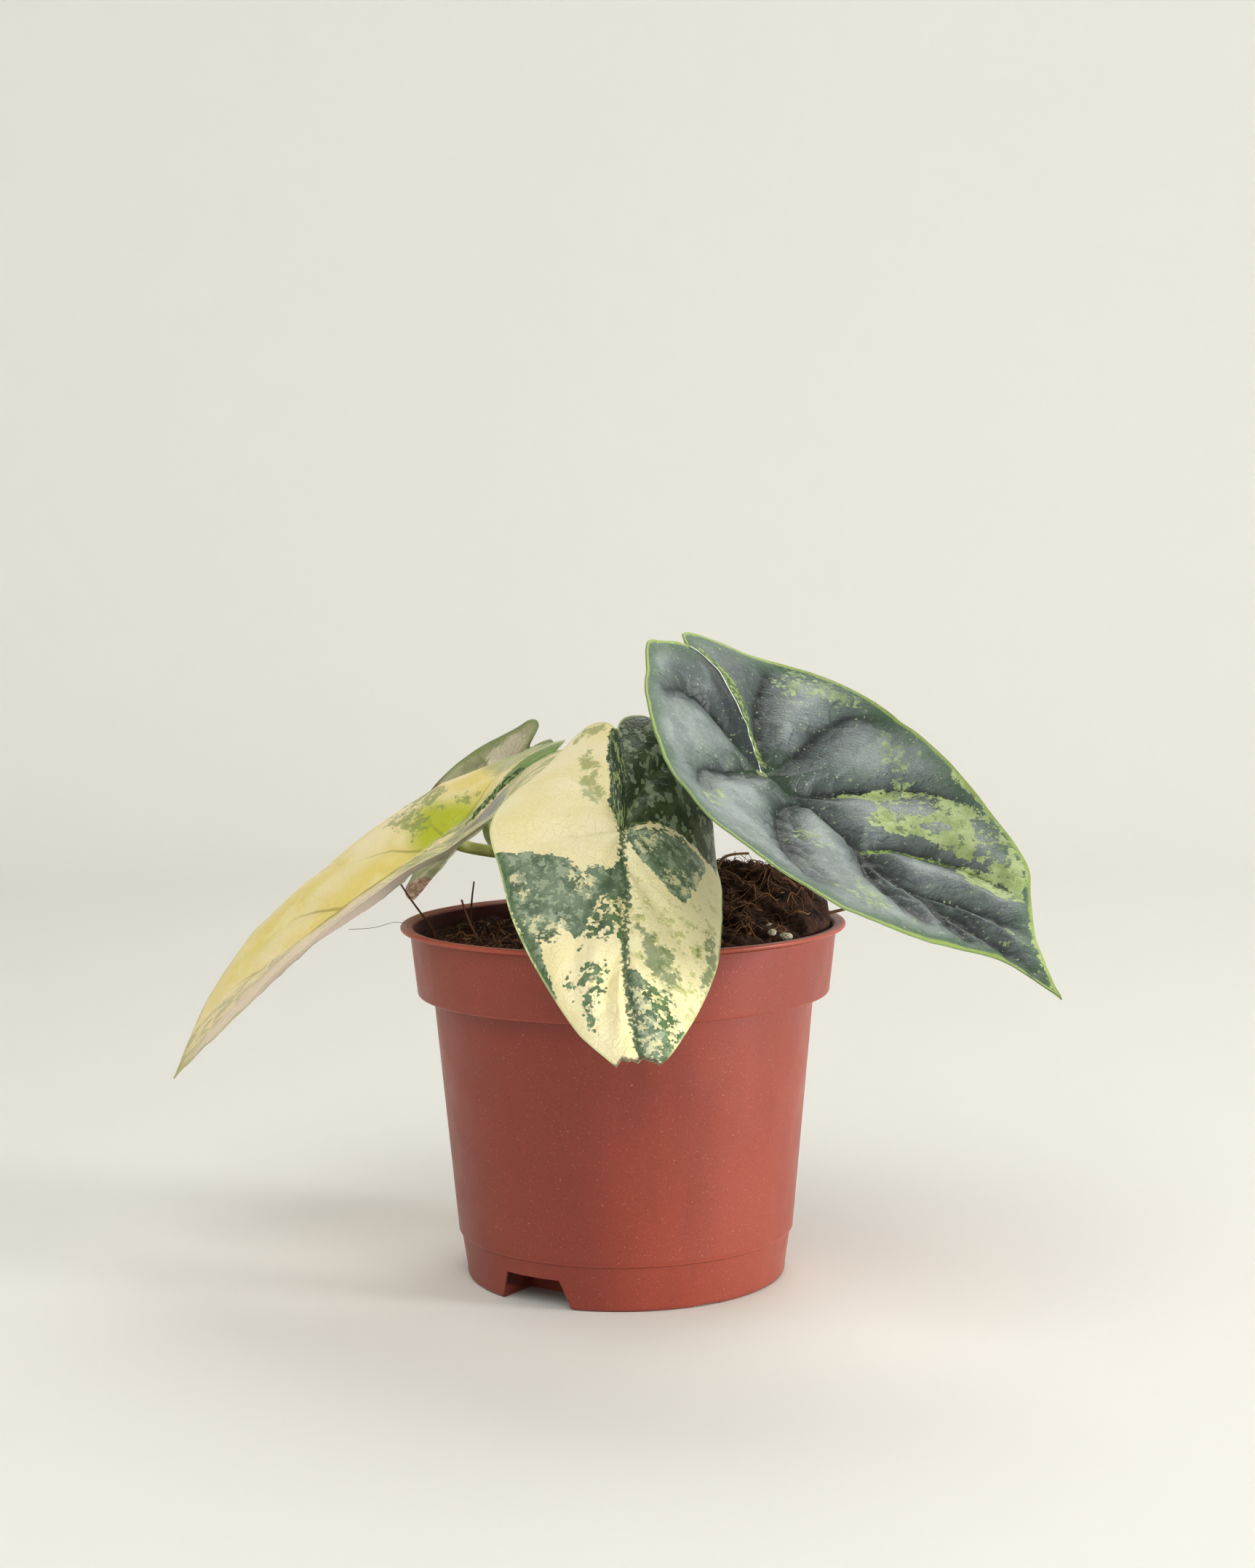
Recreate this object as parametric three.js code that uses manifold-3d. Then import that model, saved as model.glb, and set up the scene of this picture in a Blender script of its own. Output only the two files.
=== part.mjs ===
// A young variegated alocasia with four leaves in a 12 cm nursery pot.
// Millimetres, +Z up. The origin is the centre of the flat underside of the pot.
// The plant is seen from the front along +Y, with +X to the right.

import * as THREE from 'three';
import { mergeVertices } from 'three/addons/utils/BufferGeometryUtils.js';
import Module from 'manifold-3d';

const wasm = await Module();
wasm.setup();

// Clearance left between neighbouring pieces
const GAP = 0.35;

// Pot
const POT_HEIGHT = 95.4;
const POT_SEGMENTS = 60;
const LIP_RADIUS = 60;
const COLLAR_TOP_RADIUS = 57.6;
const COLLAR_FOOT_RADIUS = 55.6;
const COLLAR_FOOT_Z = 76.6;
const BODY_TOP_RADIUS = 51.3;
const FOOT_STEP_Z = 12.3;
const FOOT_STEP_RADIUS = 45.4;
const FOOT_STEP_DEPTH = 0.7;
const BASE_RADIUS = 43.2;
const BASE_CORNER = 1.8;
const WALL = 1.1;
const FLOOR = 1.2;

// Drain pockets: a trapezoid tunnel through the foot, with a small hole in its roof
const POCKET_BEARINGS = [-124, 56];
const POCKET_FOOT_WIDTH = 22;
const POCKET_ROOF_WIDTH = 16.5;
const POCKET_HEIGHT = 7.8;
const POCKET_SLOPE = (POCKET_FOOT_WIDTH - POCKET_ROOF_WIDTH) / POCKET_HEIGHT;
const POCKET_DEPTH = 14;
const DRAIN_RADIUS = 2.4;

// Shallow notches in the foot, between the pockets
const NOTCH_BEARINGS = [-61, -1, 119, 179];
const NOTCH_WIDTH = 8;
const NOTCH_HEIGHT = 0.5;
const NOTCH_DEPTH = 5;

// Root ball: a little under the rim at the left, heaped above it at the right
const SOIL_LOW = 90.5;
const SOIL_RAMP = 3.5;
const SOIL_RAMP_START = -20;
const SOIL_RAMP_END = 30;
const MOUND_HEIGHT = 15.5;
const MOUND_CENTRE = [28, 4];
const MOUND_REACH = [27, 24];
const CLOD_HEIGHT = 0.9;
const SOIL_RINGS = 9;
const FIBRE_COUNT = 34;
const FIBRE_SEED = 7;

// Sticks that the photograph shows one by one: points along each, then its radius
const STICKS = [
  { points: [[-61.5, 8, 106.3], [-58, 7, 101], [-55, 6, 97], [-52, 5, 93], [-50, 4, 87]], radius: 0.45 },
  { points: [[-42.9, -10, 102.7], [-41, -10, 97], [-38.5, -10, 91.4], [-37, -10, 86]], radius: 0.55 },
  { points: [[-42.2, 34, 102.4], [-43, 34, 96], [-43.4, 33, 87]], radius: 0.4 },
  { points: [[61.5, -1, 98.4], [56, -2, 97.2], [50, -4, 96.6], [44, -6, 94.5]], radius: 0.6 },
  { points: [[34, -2, 113.5], [28, -4, 113], [25, -5, 109.5], [22, -6, 106]], radius: 0.5 },
];

// Grains of perlite on the soil by the right rim: place over the soil, then size
const PERLITE = [
  { at: [38.2, -34.5], size: [1.1, 1.0, 0.9] },
  { at: [41.7, -34], size: [1.8, 1.4, 1.1] },
  { at: [38, -27.5], size: [1.1, 1.0, 0.9] },
];

// Crown that the stalks grow from
const CORM_CENTRE = [2.5, 2];
const CORM_PROFILE = [
  [0, 66], [5.5, 70], [8.6, 78], [10, 89], [9.8, 97], [8.2, 102.5], [5, 105], [0, 105.6],
];
const CORM_SEGMENTS = 20;

// Stalks: points from the crown up to near the blade, then the straight lead square to the blade's
// underside if it has one, how much further it stops short of the blade, and its radius at each end
const STALK_SIDES = 8;
const STALKS = {
  petiole_right: {
    points: [[7.5, 1, 99.5], [9.5, -2, 108], [15.5, -10, 120.5]],
    leaf: 'leaf_right', lead: 8, short: 0, foot: 2.3, head: 1.7,
  },
  petiole_front: {
    points: [[2.5, -3, 99.5], [2.3, -7, 104.5], [1.8, -16, 109.5], [1.2, -28, 113.5], [0.6, -39, 118]],
    leaf: 'leaf_front', lead: 3, short: 0, foot: 2.1, head: 1.6,
  },
  petiole_left: {
    points: [
      [-2.5, 1.5, 99.5], [-6.5, 3.2, 105], [-16, 8.5, 109], [-28, 13.2, 112], [-37.8, 15.2, 113.2],
      [-43.5, 15.2, 114.4],
    ],
    leaf: 'leaf_left', lead: 0, short: 0.9, foot: 2.1, head: 1.6,
  },
  petiole_back: {
    points: [
      [-1, 7, 99.5], [-5, 8.4, 104], [-15, 14, 106.5], [-27, 24, 109], [-36, 39, 112], [-39.2, 50, 115.6],
      [-38.4, 57, 119.5],
    ],
    leaf: 'leaf_back', lead: 0, short: 0.6, foot: 1.9, head: 1.2,
  },
};

// Blades. Lengths in mm, turns in degrees.
// heading, dip and roll turn the blade at its stalk; the heading is measured from +X towards +Y.
// arch and droop bend the midrib down towards the tip; rise and hump bend the part behind the stalk.
// fold lifts each half, right then left, and changes by foldAhead at the tip and foldBehind at the rear.
// curl rolls each half's margin down, from a half width that skew makes narrower at the right.
const BLADE_THICKNESS = 0.8;
const BLADE_ROWS = 28;
const BLADE_COLUMNS = [0, 0.05, 0.16, 0.32, 0.5, 0.68, 0.85, 1];
const ROW_CURVE = 1.3;
const ROW_CROWDING = 1.25;
const FOLD_EASE = 0.25;
const RIB_DEPTHS = [1.3, 0.35, 0, 0, 0, 0, 0, 0];
const LEAVES = {
  leaf_right: {
    at: [36.8, -33.3, 138.3], heading: -43.5, dip: 44, roll: 4,
    ahead: 103.5, behind: 39.5, halfWidth: 43.5, skew: 0.02,
    arch: -79, droop: 73, rise: 19, hump: 0,
    sweep: 4, sweepBehind: 13, twist: -8, twistBehind: -6,
    fold: [-7, 0], foldAhead: [0, 2], foldBehind: [0, -19],
    curl: [-24, -53],
    quilt: 3.2,
  },
  leaf_front: {
    at: [0.4, -48.3, 126.1], heading: -87.5, dip: 47, roll: 10,
    ahead: 79, behind: 32, halfWidth: 32.5, skew: 0.01,
    arch: 6, droop: -2, rise: -5, hump: 0,
    sweep: -3, sweepBehind: 1, twist: -17, twistBehind: 5,
    fold: [3, -9], foldAhead: [-6, -1], foldBehind: [-34, 6],
    curl: [26, 42],
    quilt: 1.5, bite: { at: 0.87, depth: 1.6 },
  },
  leaf_left: {
    at: [-47.3, 11.5, 117.5], heading: 176.5, dip: 30, roll: 33,
    ahead: 106.5, behind: 38, halfWidth: 37.5, skew: -0.04,
    arch: 15, droop: 10, rise: -2, hump: 18,
    sweep: -6, sweepBehind: 0, twist: -2, twistBehind: 3,
    fold: [18, 16], foldAhead: [-5, -3], foldBehind: [-30, -9],
    curl: [65, -29],
    quilt: 1.4,
  },
  leaf_back: {
    at: [-38.4, 65.2, 125.5], heading: 136.5, dip: 43, roll: 0,
    ahead: 50, behind: 20, halfWidth: 23, skew: -0.07,
    arch: 4, droop: -1, rise: -2, hump: 0,
    sweep: -1, sweepBehind: 7, twist: 9, twistBehind: 4,
    fold: [14, 17], foldAhead: [2, -2], foldBehind: [-5, 1],
    curl: [12, 15],
    quilt: 1,
  },
};

// Margins of the blades, from the notch at the rear to the tip, both of which are left out.
// Each point: share of the half width, then share of the length ahead of the stalk.
const MARGINS = {
  leaf_right: {
    right: [
      [0.13, -0.4], [0.45, -0.418], [0.56, -0.398], [0.64, -0.345], [0.8, -0.27], [0.93, -0.16],
      [1, -0.04], [1.05, 0.08], [1.065, 0.17], [1.05, 0.29], [0.99, 0.41], [0.89, 0.52],
      [0.74, 0.62], [0.52, 0.71], [0.3, 0.775], [0.15, 0.83], [0.07, 0.89],
    ],
    left: [
      [0.03, -0.408], [0.14, -0.42], [0.28, -0.42], [0.43, -0.406], [0.55, -0.378], [0.67, -0.33],
      [0.82, -0.275], [0.925, -0.205], [0.985, -0.1], [1, 0.02], [1.02, 0.11], [1, 0.23],
      [0.925, 0.365], [0.825, 0.485], [0.73, 0.585], [0.64, 0.65], [0.5, 0.705], [0.28, 0.8],
      [0.19, 0.85], [0.045, 0.955],
    ],
  },
  leaf_front: {
    right: [
      [0.09, -0.457], [0.25, -0.492], [0.36, -0.49], [0.48, -0.46], [0.82, -0.28], [0.95, -0.15],
      [1.015, -0.02], [1.025, 0.04], [0.95, 0.17], [0.885, 0.31], [0.78, 0.44], [0.62, 0.59],
      [0.445, 0.73], [0.336, 0.792], [0.15, 0.88], [0.07, 0.95],
    ],
    left: [
      [0.04, -0.445], [0.12, -0.472], [0.24, -0.482], [0.38, -0.465], [0.52, -0.42], [0.66, -0.34],
      [0.88, -0.165], [0.985, 0.03], [0.9, 0.24], [0.75, 0.44], [0.56, 0.62], [0.34, 0.775],
      [0.15, 0.89],
    ],
  },
  leaf_left: {
    right: [
      [0.08, -0.385], [0.18, -0.39], [0.32, -0.37], [0.5, -0.31], [0.72, -0.22], [0.9, -0.11],
      [1, 0.04], [0.98, 0.2], [0.9, 0.33], [0.8, 0.46], [0.67, 0.58], [0.52, 0.68],
      [0.36, 0.77], [0.22, 0.85], [0.04, 0.96],
    ],
    left: [
      [0.1, -0.4], [0.26, -0.4], [0.5, -0.35], [0.74, -0.25], [0.93, -0.11], [1, 0.06],
      [0.95, 0.24], [0.83, 0.42], [0.62, 0.62], [0.4, 0.76], [0.07, 0.945],
    ],
  },
  leaf_back: {
    right: [
      [0.16, -0.485], [0.26, -0.49], [0.38, -0.44], [0.75, -0.25], [0.92, -0.1], [1, 0.03],
      [0.95, 0.2], [0.8, 0.36], [0.42, 0.57], [0.34, 0.64], [0.3, 0.8], [0.2, 0.94], [0.1, 0.99],
    ],
    left: [
      [0.05, -0.43], [0.15, -0.57], [0.31, -0.582], [0.43, -0.455], [0.82, -0.16], [0.945, 0.06],
      [0.93, 0.2], [0.85, 0.34], [0.7, 0.48], [0.38, 0.68], [0.315, 0.74], [0.28, 0.87],
      [0.21, 0.94], [0.09, 0.985],
    ],
  },
};

// Side veins. Each: where it leaves the midrib, and the share of half width and of length at its end.
const SIDE_VEINS = [
  [0, 0.95, 0.02],
  [0.09, 0.84, 0.44],
  [0.34, 0.5, 0.72],
  [0.56, 0.32, 0.86],
  [0.75, 0.17, 0.95],
];
const SIDE_VEIN_CURVE = 1.7;
const REAR_VEIN_END = [0.9, -0.27];
const VEIN_STEPS = 10;
const VEIN_VALLEY = 5.5;
const MIDRIB_VALLEY = 3.5;

// Colours, roughness and metalness
const LOOKS = {
  pot: ['#a5493c', 0.42],
  soil: ['#2e1d16', 0.95],
  corm: ['#6f6a45', 0.7],
  perlite: ['#d9d3c6', 0.9],
  petiole_right: ['#66713f', 0.5],
  petiole_front: ['#7d8548', 0.5],
  petiole_left: ['#6f7a3d', 0.5],
  petiole_back: ['#66713f', 0.5],
  leaf_right: ['#53665e', 0.45],
  leaf_front: ['#a9b184', 0.5],
  leaf_left: ['#d8cf7c', 0.5],
  leaf_back: ['#7f8a6c', 0.55],
};

const rad = THREE.MathUtils.degToRad;
const { clamp, smoothstep, lerp } = THREE.MathUtils;

// Seeded random numbers from 0 to 1
function seededRandom(seed) {
  let state = seed;
  return () => {
    state = (state * 1664525 + 1013904223) % 4294967296;
    return state / 4294967296;
  };
}

function geometryOf(places, faces) {
  const geometry = new THREE.BufferGeometry();
  geometry.setAttribute('position', new THREE.Float32BufferAttribute(places.flat(), 3));
  geometry.setIndex(faces.flat());
  return geometry;
}

function solidOf(geometry) {
  const bare = geometry.clone();
  bare.deleteAttribute('normal');
  bare.deleteAttribute('uv');
  const merged = mergeVertices(bare, 1e-4);
  return new wasm.Manifold(new wasm.Mesh({
    numProp: 3,
    vertProperties: new Float32Array(merged.attributes.position.array),
    triVerts: new Uint32Array(merged.index.array),
  }));
}

function geometryOfSolid(solid) {
  const mesh = solid.getMesh();
  const geometry = new THREE.BufferGeometry();
  geometry.setAttribute('position', new THREE.BufferAttribute(mesh.vertProperties, 3));
  geometry.setIndex(new THREE.BufferAttribute(mesh.triVerts, 1));
  return geometry;
}

// A solid of revolution about Z from a profile of radius and height that starts and ends on the axis
function turned(profile, segments) {
  const geometry = new THREE.LatheGeometry(profile.map(([r, z]) => new THREE.Vector2(r, z)), segments);
  return geometry.rotateX(Math.PI / 2);
}

// A tapered tube along a smooth curve, with flat ends, grown all round by some extra
function sweep(points, footRadius, headRadius, sides, steps, extra = 0) {
  const curve = new THREE.CatmullRomCurve3(points.map((point) => new THREE.Vector3(...point)));
  const frames = curve.computeFrenetFrames(steps);
  const places = [];
  const faces = [];
  for (let step = 0; step <= steps; step++) {
    const centre = curve.getPointAt(step / steps);
    const past = step === 0 ? -extra : Number(step === steps) * extra;
    centre.addScaledVector(frames.tangents[step], past);
    const radius = lerp(footRadius, headRadius, step / steps) + extra;
    for (let side = 0; side < sides; side++) {
      const angle = (2 * Math.PI * side) / sides;
      const place = centre.clone()
        .addScaledVector(frames.normals[step], radius * Math.cos(angle))
        .addScaledVector(frames.binormals[step], radius * Math.sin(angle));
      places.push(place.toArray());
    }
  }
  for (let step = 0; step < steps; step++) {
    for (let side = 0; side < sides; side++) {
      const a = step * sides + side;
      const b = step * sides + ((side + 1) % sides);
      faces.push([a, b, b + sides], [a, b + sides, a + sides]);
    }
  }
  const last = steps * sides;
  for (let side = 1; side < sides - 1; side++) {
    faces.push([0, side + 1, side], [last, last + side, last + side + 1]);
  }
  return geometryOf(places, faces);
}

// Pot

const wallRadius = (z) => (z < FOOT_STEP_Z
  ? lerp(BASE_RADIUS, FOOT_STEP_RADIUS - FOOT_STEP_DEPTH, z / FOOT_STEP_Z)
  : lerp(FOOT_STEP_RADIUS, BODY_TOP_RADIUS, (z - FOOT_STEP_Z) / (COLLAR_FOOT_Z - FOOT_STEP_Z)));
const collarRadius = (z) => lerp(
  COLLAR_FOOT_RADIUS,
  COLLAR_TOP_RADIUS,
  (z - COLLAR_FOOT_Z) / (POT_HEIGHT - COLLAR_FOOT_Z),
);

const FOOT_PROFILE = [
  [0, 0],
  [BASE_RADIUS - BASE_CORNER, 0],
  [BASE_RADIUS - 0.5, 0.5],
  [BASE_RADIUS, BASE_CORNER],
  [FOOT_STEP_RADIUS - FOOT_STEP_DEPTH, FOOT_STEP_Z - 0.3],
];

// The pot's inside, or with inset over zero a body that stands clear of it by that much
function insideProfile(inset) {
  const floor = FLOOR + inset;
  const thick = WALL + inset;
  const ledge = COLLAR_FOOT_Z + WALL;
  return [
    [0, floor],
    [wallRadius(0) - thick - 0.9, floor],
    [wallRadius(0) - thick, floor + 1.2],
    [wallRadius(FOOT_STEP_Z - 0.4) - thick, FOOT_STEP_Z - 0.4],
    [FOOT_STEP_RADIUS - thick, FOOT_STEP_Z + 0.2],
    [BODY_TOP_RADIUS - thick, ledge + inset - 0.3],
    [COLLAR_FOOT_RADIUS - thick, ledge + inset + 0.2],
  ];
}
const insideRadiusAtRim = (z, inset) => collarRadius(z) - WALL - inset;

function potShell() {
  const outside = [
    ...FOOT_PROFILE,
    [FOOT_STEP_RADIUS, FOOT_STEP_Z + 0.1],
    [BODY_TOP_RADIUS, COLLAR_FOOT_Z - 0.2],
    [COLLAR_FOOT_RADIUS - 0.6, COLLAR_FOOT_Z],
    [COLLAR_FOOT_RADIUS, COLLAR_FOOT_Z + 0.7],
    [COLLAR_TOP_RADIUS - 0.2, POT_HEIGHT - 1.9],
    [LIP_RADIUS - 0.5, POT_HEIGHT - 1.4],
    [LIP_RADIUS, POT_HEIGHT - 0.8],
    [LIP_RADIUS - 0.3, POT_HEIGHT - 0.1],
    [LIP_RADIUS - 1.2, POT_HEIGHT],
    [COLLAR_TOP_RADIUS - 0.4, POT_HEIGHT - 0.2],
    [insideRadiusAtRim(POT_HEIGHT - 1, 0), POT_HEIGHT - 1],
  ];
  const inside = insideProfile(0).reverse();
  return solidOf(turned([...outside, ...inside], POT_SEGMENTS));
}

// A prism with a trapezoid section that runs outwards from a radius through the wall
function radialTrapezoid(footWidth, roofWidth, low, high, from, to, bearing) {
  const section = new THREE.Shape([
    new THREE.Vector2(-footWidth / 2, low),
    new THREE.Vector2(footWidth / 2, low),
    new THREE.Vector2(roofWidth / 2, high),
    new THREE.Vector2(-roofWidth / 2, high),
  ]);
  const prism = new THREE.ExtrudeGeometry(section, { depth: to - from, bevelEnabled: false });
  prism.translate(0, 0, from).rotateX(Math.PI / 2).rotateZ(Math.PI + rad(bearing - 90));
  return solidOf(prism);
}

// The raised body of a drain pocket inside the pot, with walls of the given thickness round its tunnel
function pocketBody(bearing, thick) {
  const roof = POCKET_HEIGHT + thick;
  const from = BASE_RADIUS - POCKET_DEPTH - thick;
  const footWidth = POCKET_FOOT_WIDTH + 2 * thick;
  const roofWidth = footWidth - POCKET_SLOPE * roof;
  return radialTrapezoid(footWidth, roofWidth, 0, roof, from, LIP_RADIUS, bearing);
}

function pot() {
  const footBlock = solidOf(turned([...FOOT_PROFILE, [0, FOOT_STEP_Z - 0.3]], POT_SEGMENTS));
  let shell = potShell();
  for (const bearing of POCKET_BEARINGS) {
    const from = BASE_RADIUS - POCKET_DEPTH;
    const low = -1;
    const footWidth = POCKET_FOOT_WIDTH - POCKET_SLOPE * low;
    const tunnel = radialTrapezoid(
      footWidth, POCKET_ROOF_WIDTH, low, POCKET_HEIGHT, from, LIP_RADIUS, bearing,
    );
    const drain = new THREE.CylinderGeometry(DRAIN_RADIUS, DRAIN_RADIUS, POCKET_HEIGHT, 10);
    drain.rotateX(Math.PI / 2);
    drain.translate(from + DRAIN_RADIUS + 1.6, 0, POCKET_HEIGHT);
    drain.rotateZ(rad(bearing));
    const raised = pocketBody(bearing, WALL).intersect(footBlock);
    shell = shell.add(raised).subtract(tunnel).subtract(solidOf(drain));
  }
  for (const bearing of NOTCH_BEARINGS) {
    const from = BASE_RADIUS - NOTCH_DEPTH;
    shell = shell.subtract(
      radialTrapezoid(NOTCH_WIDTH, NOTCH_WIDTH, -1, NOTCH_HEIGHT, from, LIP_RADIUS, bearing),
    );
  }
  return shell;
}

// Soil

function soilHeight(x, y) {
  const ramp = SOIL_RAMP * smoothstep(x, SOIL_RAMP_START, SOIL_RAMP_END);
  const along = ((x - MOUND_CENTRE[0]) / MOUND_REACH[0]) ** 4;
  const across = ((y - MOUND_CENTRE[1]) / MOUND_REACH[1]) ** 2;
  const mound = MOUND_HEIGHT * Math.exp(-along - across);
  const clods = Math.sin(0.41 * x + 1.3) * Math.sin(0.47 * y + 0.4) + 0.6 * Math.sin(0.83 * x + 0.71 * y)
    + 0.5 * Math.sin(0.67 * x - 1.07 * y + 2);
  return SOIL_LOW + ramp + mound + CLOD_HEIGHT * clods;
}

function soilBody() {
  const side = insideProfile(GAP);
  const rimLimit = POT_HEIGHT - 1.2;
  const places = [[0, 0, side[0][1]]];
  const faces = [];
  const ring = (radiusAt, heightAt) => {
    for (let k = 0; k < POT_SEGMENTS; k++) {
      const angle = (2 * Math.PI * k) / POT_SEGMENTS;
      const radius = radiusAt(angle);
      const [x, y] = [radius * Math.cos(angle), radius * Math.sin(angle)];
      places.push([x, y, heightAt(x, y)]);
    }
  };
  for (const [radius, z] of side.slice(1)) {
    ring(() => radius, () => z);
  }
  const edgeHeight = (angle) => {
    const radius = insideRadiusAtRim(POT_HEIGHT, GAP);
    return Math.min(rimLimit, soilHeight(radius * Math.cos(angle), radius * Math.sin(angle)));
  };
  const edgeRadius = (angle) => insideRadiusAtRim(edgeHeight(angle), GAP);
  ring(edgeRadius, (x, y) => edgeHeight(Math.atan2(y, x)));
  for (let k = 1; k < SOIL_RINGS; k++) {
    const share = k === 1 ? 0.965 : 1 - (k - 1) / (SOIL_RINGS - 1) - 0.01;
    ring((angle) => edgeRadius(angle) * share, soilHeight);
  }
  places.push([0, 0, soilHeight(0, 0)]);
  const rings = (places.length - 2) / POT_SEGMENTS;
  const at = (level, k) => 1 + level * POT_SEGMENTS + (k % POT_SEGMENTS);
  for (let k = 0; k < POT_SEGMENTS; k++) {
    faces.push([0, at(0, k + 1), at(0, k)]);
    for (let level = 0; level < rings - 1; level++) {
      faces.push([at(level, k), at(level, k + 1), at(level + 1, k + 1)]);
      faces.push([at(level, k), at(level + 1, k + 1), at(level + 1, k)]);
    }
    faces.push([at(rings - 1, k), at(rings - 1, k + 1), places.length - 1]);
  }
  return solidOf(geometryOf(places, faces));
}

// Bark fibres and roots that arch out of the heap and back into it
function fibres() {
  const random = seededRandom(FIBRE_SEED);
  const between = (low, high) => low + (high - low) * random();
  const made = [];
  while (made.length < FIBRE_COUNT) {
    const x = between(-46, 47);
    const y = between(-40, 42);
    const turn = between(0, 2 * Math.PI);
    const half = between(3.5, 9);
    const lift = between(0.6, 1.8);
    const radius = between(0.4, 0.75);
    const ends = [x + half * Math.cos(turn), y + half * Math.sin(turn)];
    const starts = [x - half * Math.cos(turn), y - half * Math.sin(turn)];
    const keep = Math.hypot(...ends) < 51 && Math.hypot(...starts) < 51
      && Math.hypot(x - CORM_CENTRE[0], y - CORM_CENTRE[1]) > 13 + half
      && (x > 8 || random() < 0.45);
    if (keep) {
      const over = (place, height) => [...place, soilHeight(...place) + height];
      const halfway = (place) => [(x + place[0]) / 2, (y + place[1]) / 2];
      const points = [
        over(starts, -2),
        over(halfway(starts), lift / 2),
        over([x, y], lift),
        over(halfway(ends), lift / 3),
        over(ends, -2),
      ];
      made.push(solidOf(sweep(points, radius, radius * 0.7, 3, 5)));
    }
  }
  return made;
}

function grainOfPerlite({ at: [x, y], size }, extra) {
  const grain = new THREE.IcosahedronGeometry(1, 0);
  grain.scale(size[0] + extra, size[1] + extra, size[2] + extra);
  grain.translate(x, y, soilHeight(x, y) + size[2] * 0.6);
  return grain;
}

// Crown and stalks

function cormBody(extra) {
  const profile = CORM_PROFILE.map(([radius, z]) => [radius > 0 ? radius + extra : 0, z]);
  profile[0][1] -= extra;
  profile[profile.length - 1][1] += extra;
  return solidOf(turned(profile, CORM_SEGMENTS).translate(...CORM_CENTRE, 0));
}

function stalkPoints(stalk) {
  const leaf = LEAVES[stalk.leaf];
  const { up } = bladeAxes(leaf);
  const under = BLADE_THICKNESS / 2 + RIB_DEPTHS[0] + leaf.quilt / 2 + GAP + stalk.short;
  const below = (depth) => new THREE.Vector3(...leaf.at).addScaledVector(up, -depth).toArray();
  const lead = stalk.lead > 0 ? [below(under + stalk.lead)] : [];
  return [...stalk.points, ...lead, below(under)];
}

function stalkTube(stalk, extra) {
  const points = stalkPoints(stalk);
  return sweep(points, stalk.foot, stalk.head, STALK_SIDES, 4 + 2 * points.length, extra);
}

// Blades

// The directions across, along and up from a blade at its stalk
function bladeAxes(leaf) {
  const [heading, dip, roll] = [rad(leaf.heading), rad(leaf.dip), rad(leaf.roll)];
  const along = new THREE.Vector3(
    Math.cos(heading) * Math.cos(dip), Math.sin(heading) * Math.cos(dip), -Math.sin(dip),
  );
  const level = new THREE.Vector3(
    Math.cos(heading) * Math.sin(dip), Math.sin(heading) * Math.sin(dip), Math.cos(dip),
  );
  const across = new THREE.Vector3().crossVectors(along, level).applyAxisAngle(along, -roll);
  const up = level.applyAxisAngle(along, -roll);
  return { across, along, up };
}

// How far the midrib has turned from its direction at the stalk, at a distance along the blade
function midribTurn(leaf, y) {
  const ahead = Math.max(y, 0) / leaf.ahead;
  const behind = Math.max(-y, 0) / leaf.behind;
  const hump = leaf.hump * Math.sin(Math.PI * Math.min(behind, 1));
  return {
    bend: rad(leaf.arch * ahead + leaf.droop * ahead ** 2 + leaf.rise * behind + hump),
    sweep: rad(leaf.sweep * ahead - leaf.sweepBehind * behind),
    twist: rad(leaf.twist * ahead - leaf.twistBehind * behind),
  };
}

function midribDirection(leaf, y) {
  const { bend, sweep: turn } = midribTurn(leaf, y);
  const level = Math.cos(bend);
  return new THREE.Vector3(Math.sin(turn) * level, Math.cos(turn) * level, -Math.sin(bend));
}

// The midrib's place and the directions across and up from it, in the blade's own frame
function midribFrame(leaf, y) {
  const steps = 40;
  const place = new THREE.Vector3();
  for (let k = 0; k < steps; k++) {
    place.addScaledVector(midribDirection(leaf, (y * (k + 0.5)) / steps), y / steps);
  }
  const { bend, sweep: turn, twist } = midribTurn(leaf, y);
  const flat = new THREE.Vector3(Math.cos(turn), -Math.sin(turn), 0);
  const lean = Math.sin(bend);
  const normal = new THREE.Vector3(Math.sin(turn) * lean, Math.cos(turn) * lean, Math.cos(bend));
  const across = flat.clone().multiplyScalar(Math.cos(twist)).addScaledVector(normal, Math.sin(twist));
  const up = flat.multiplyScalar(-Math.sin(twist)).addScaledVector(normal, Math.cos(twist));
  return { place, across, up };
}

// A point of the blade, raised by some height above its middle surface
function bladePoint(leaf, x, y, height) {
  const { place, across, up } = midribFrame(leaf, y);
  const half = x > 0 ? 0 : 1;
  const ahead = Math.max(y, 0) / leaf.ahead;
  const behind = Math.max(-y, 0) / leaf.behind;
  const eased = ((1 + FOLD_EASE) * behind ** 2) / (behind + FOLD_EASE);
  const fold = leaf.fold[half] + leaf.foldAhead[half] * ahead + leaf.foldBehind[half] * eased;
  const reach = Math.abs(x) / (leaf.halfWidth * (1 + (half === 0 ? -leaf.skew : leaf.skew)));
  const chord = rad(fold - (leaf.curl[half] * reach) / 2);
  const slope = x === 0 ? 0 : rad(fold - leaf.curl[half] * reach);
  const out = x * Math.cos(chord) - Math.sign(x) * Math.sin(slope) * height;
  const rise = Math.abs(x) * Math.sin(chord) + Math.cos(slope) * height;
  return place.addScaledVector(across, out).addScaledVector(up, rise).toArray();
}

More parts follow.
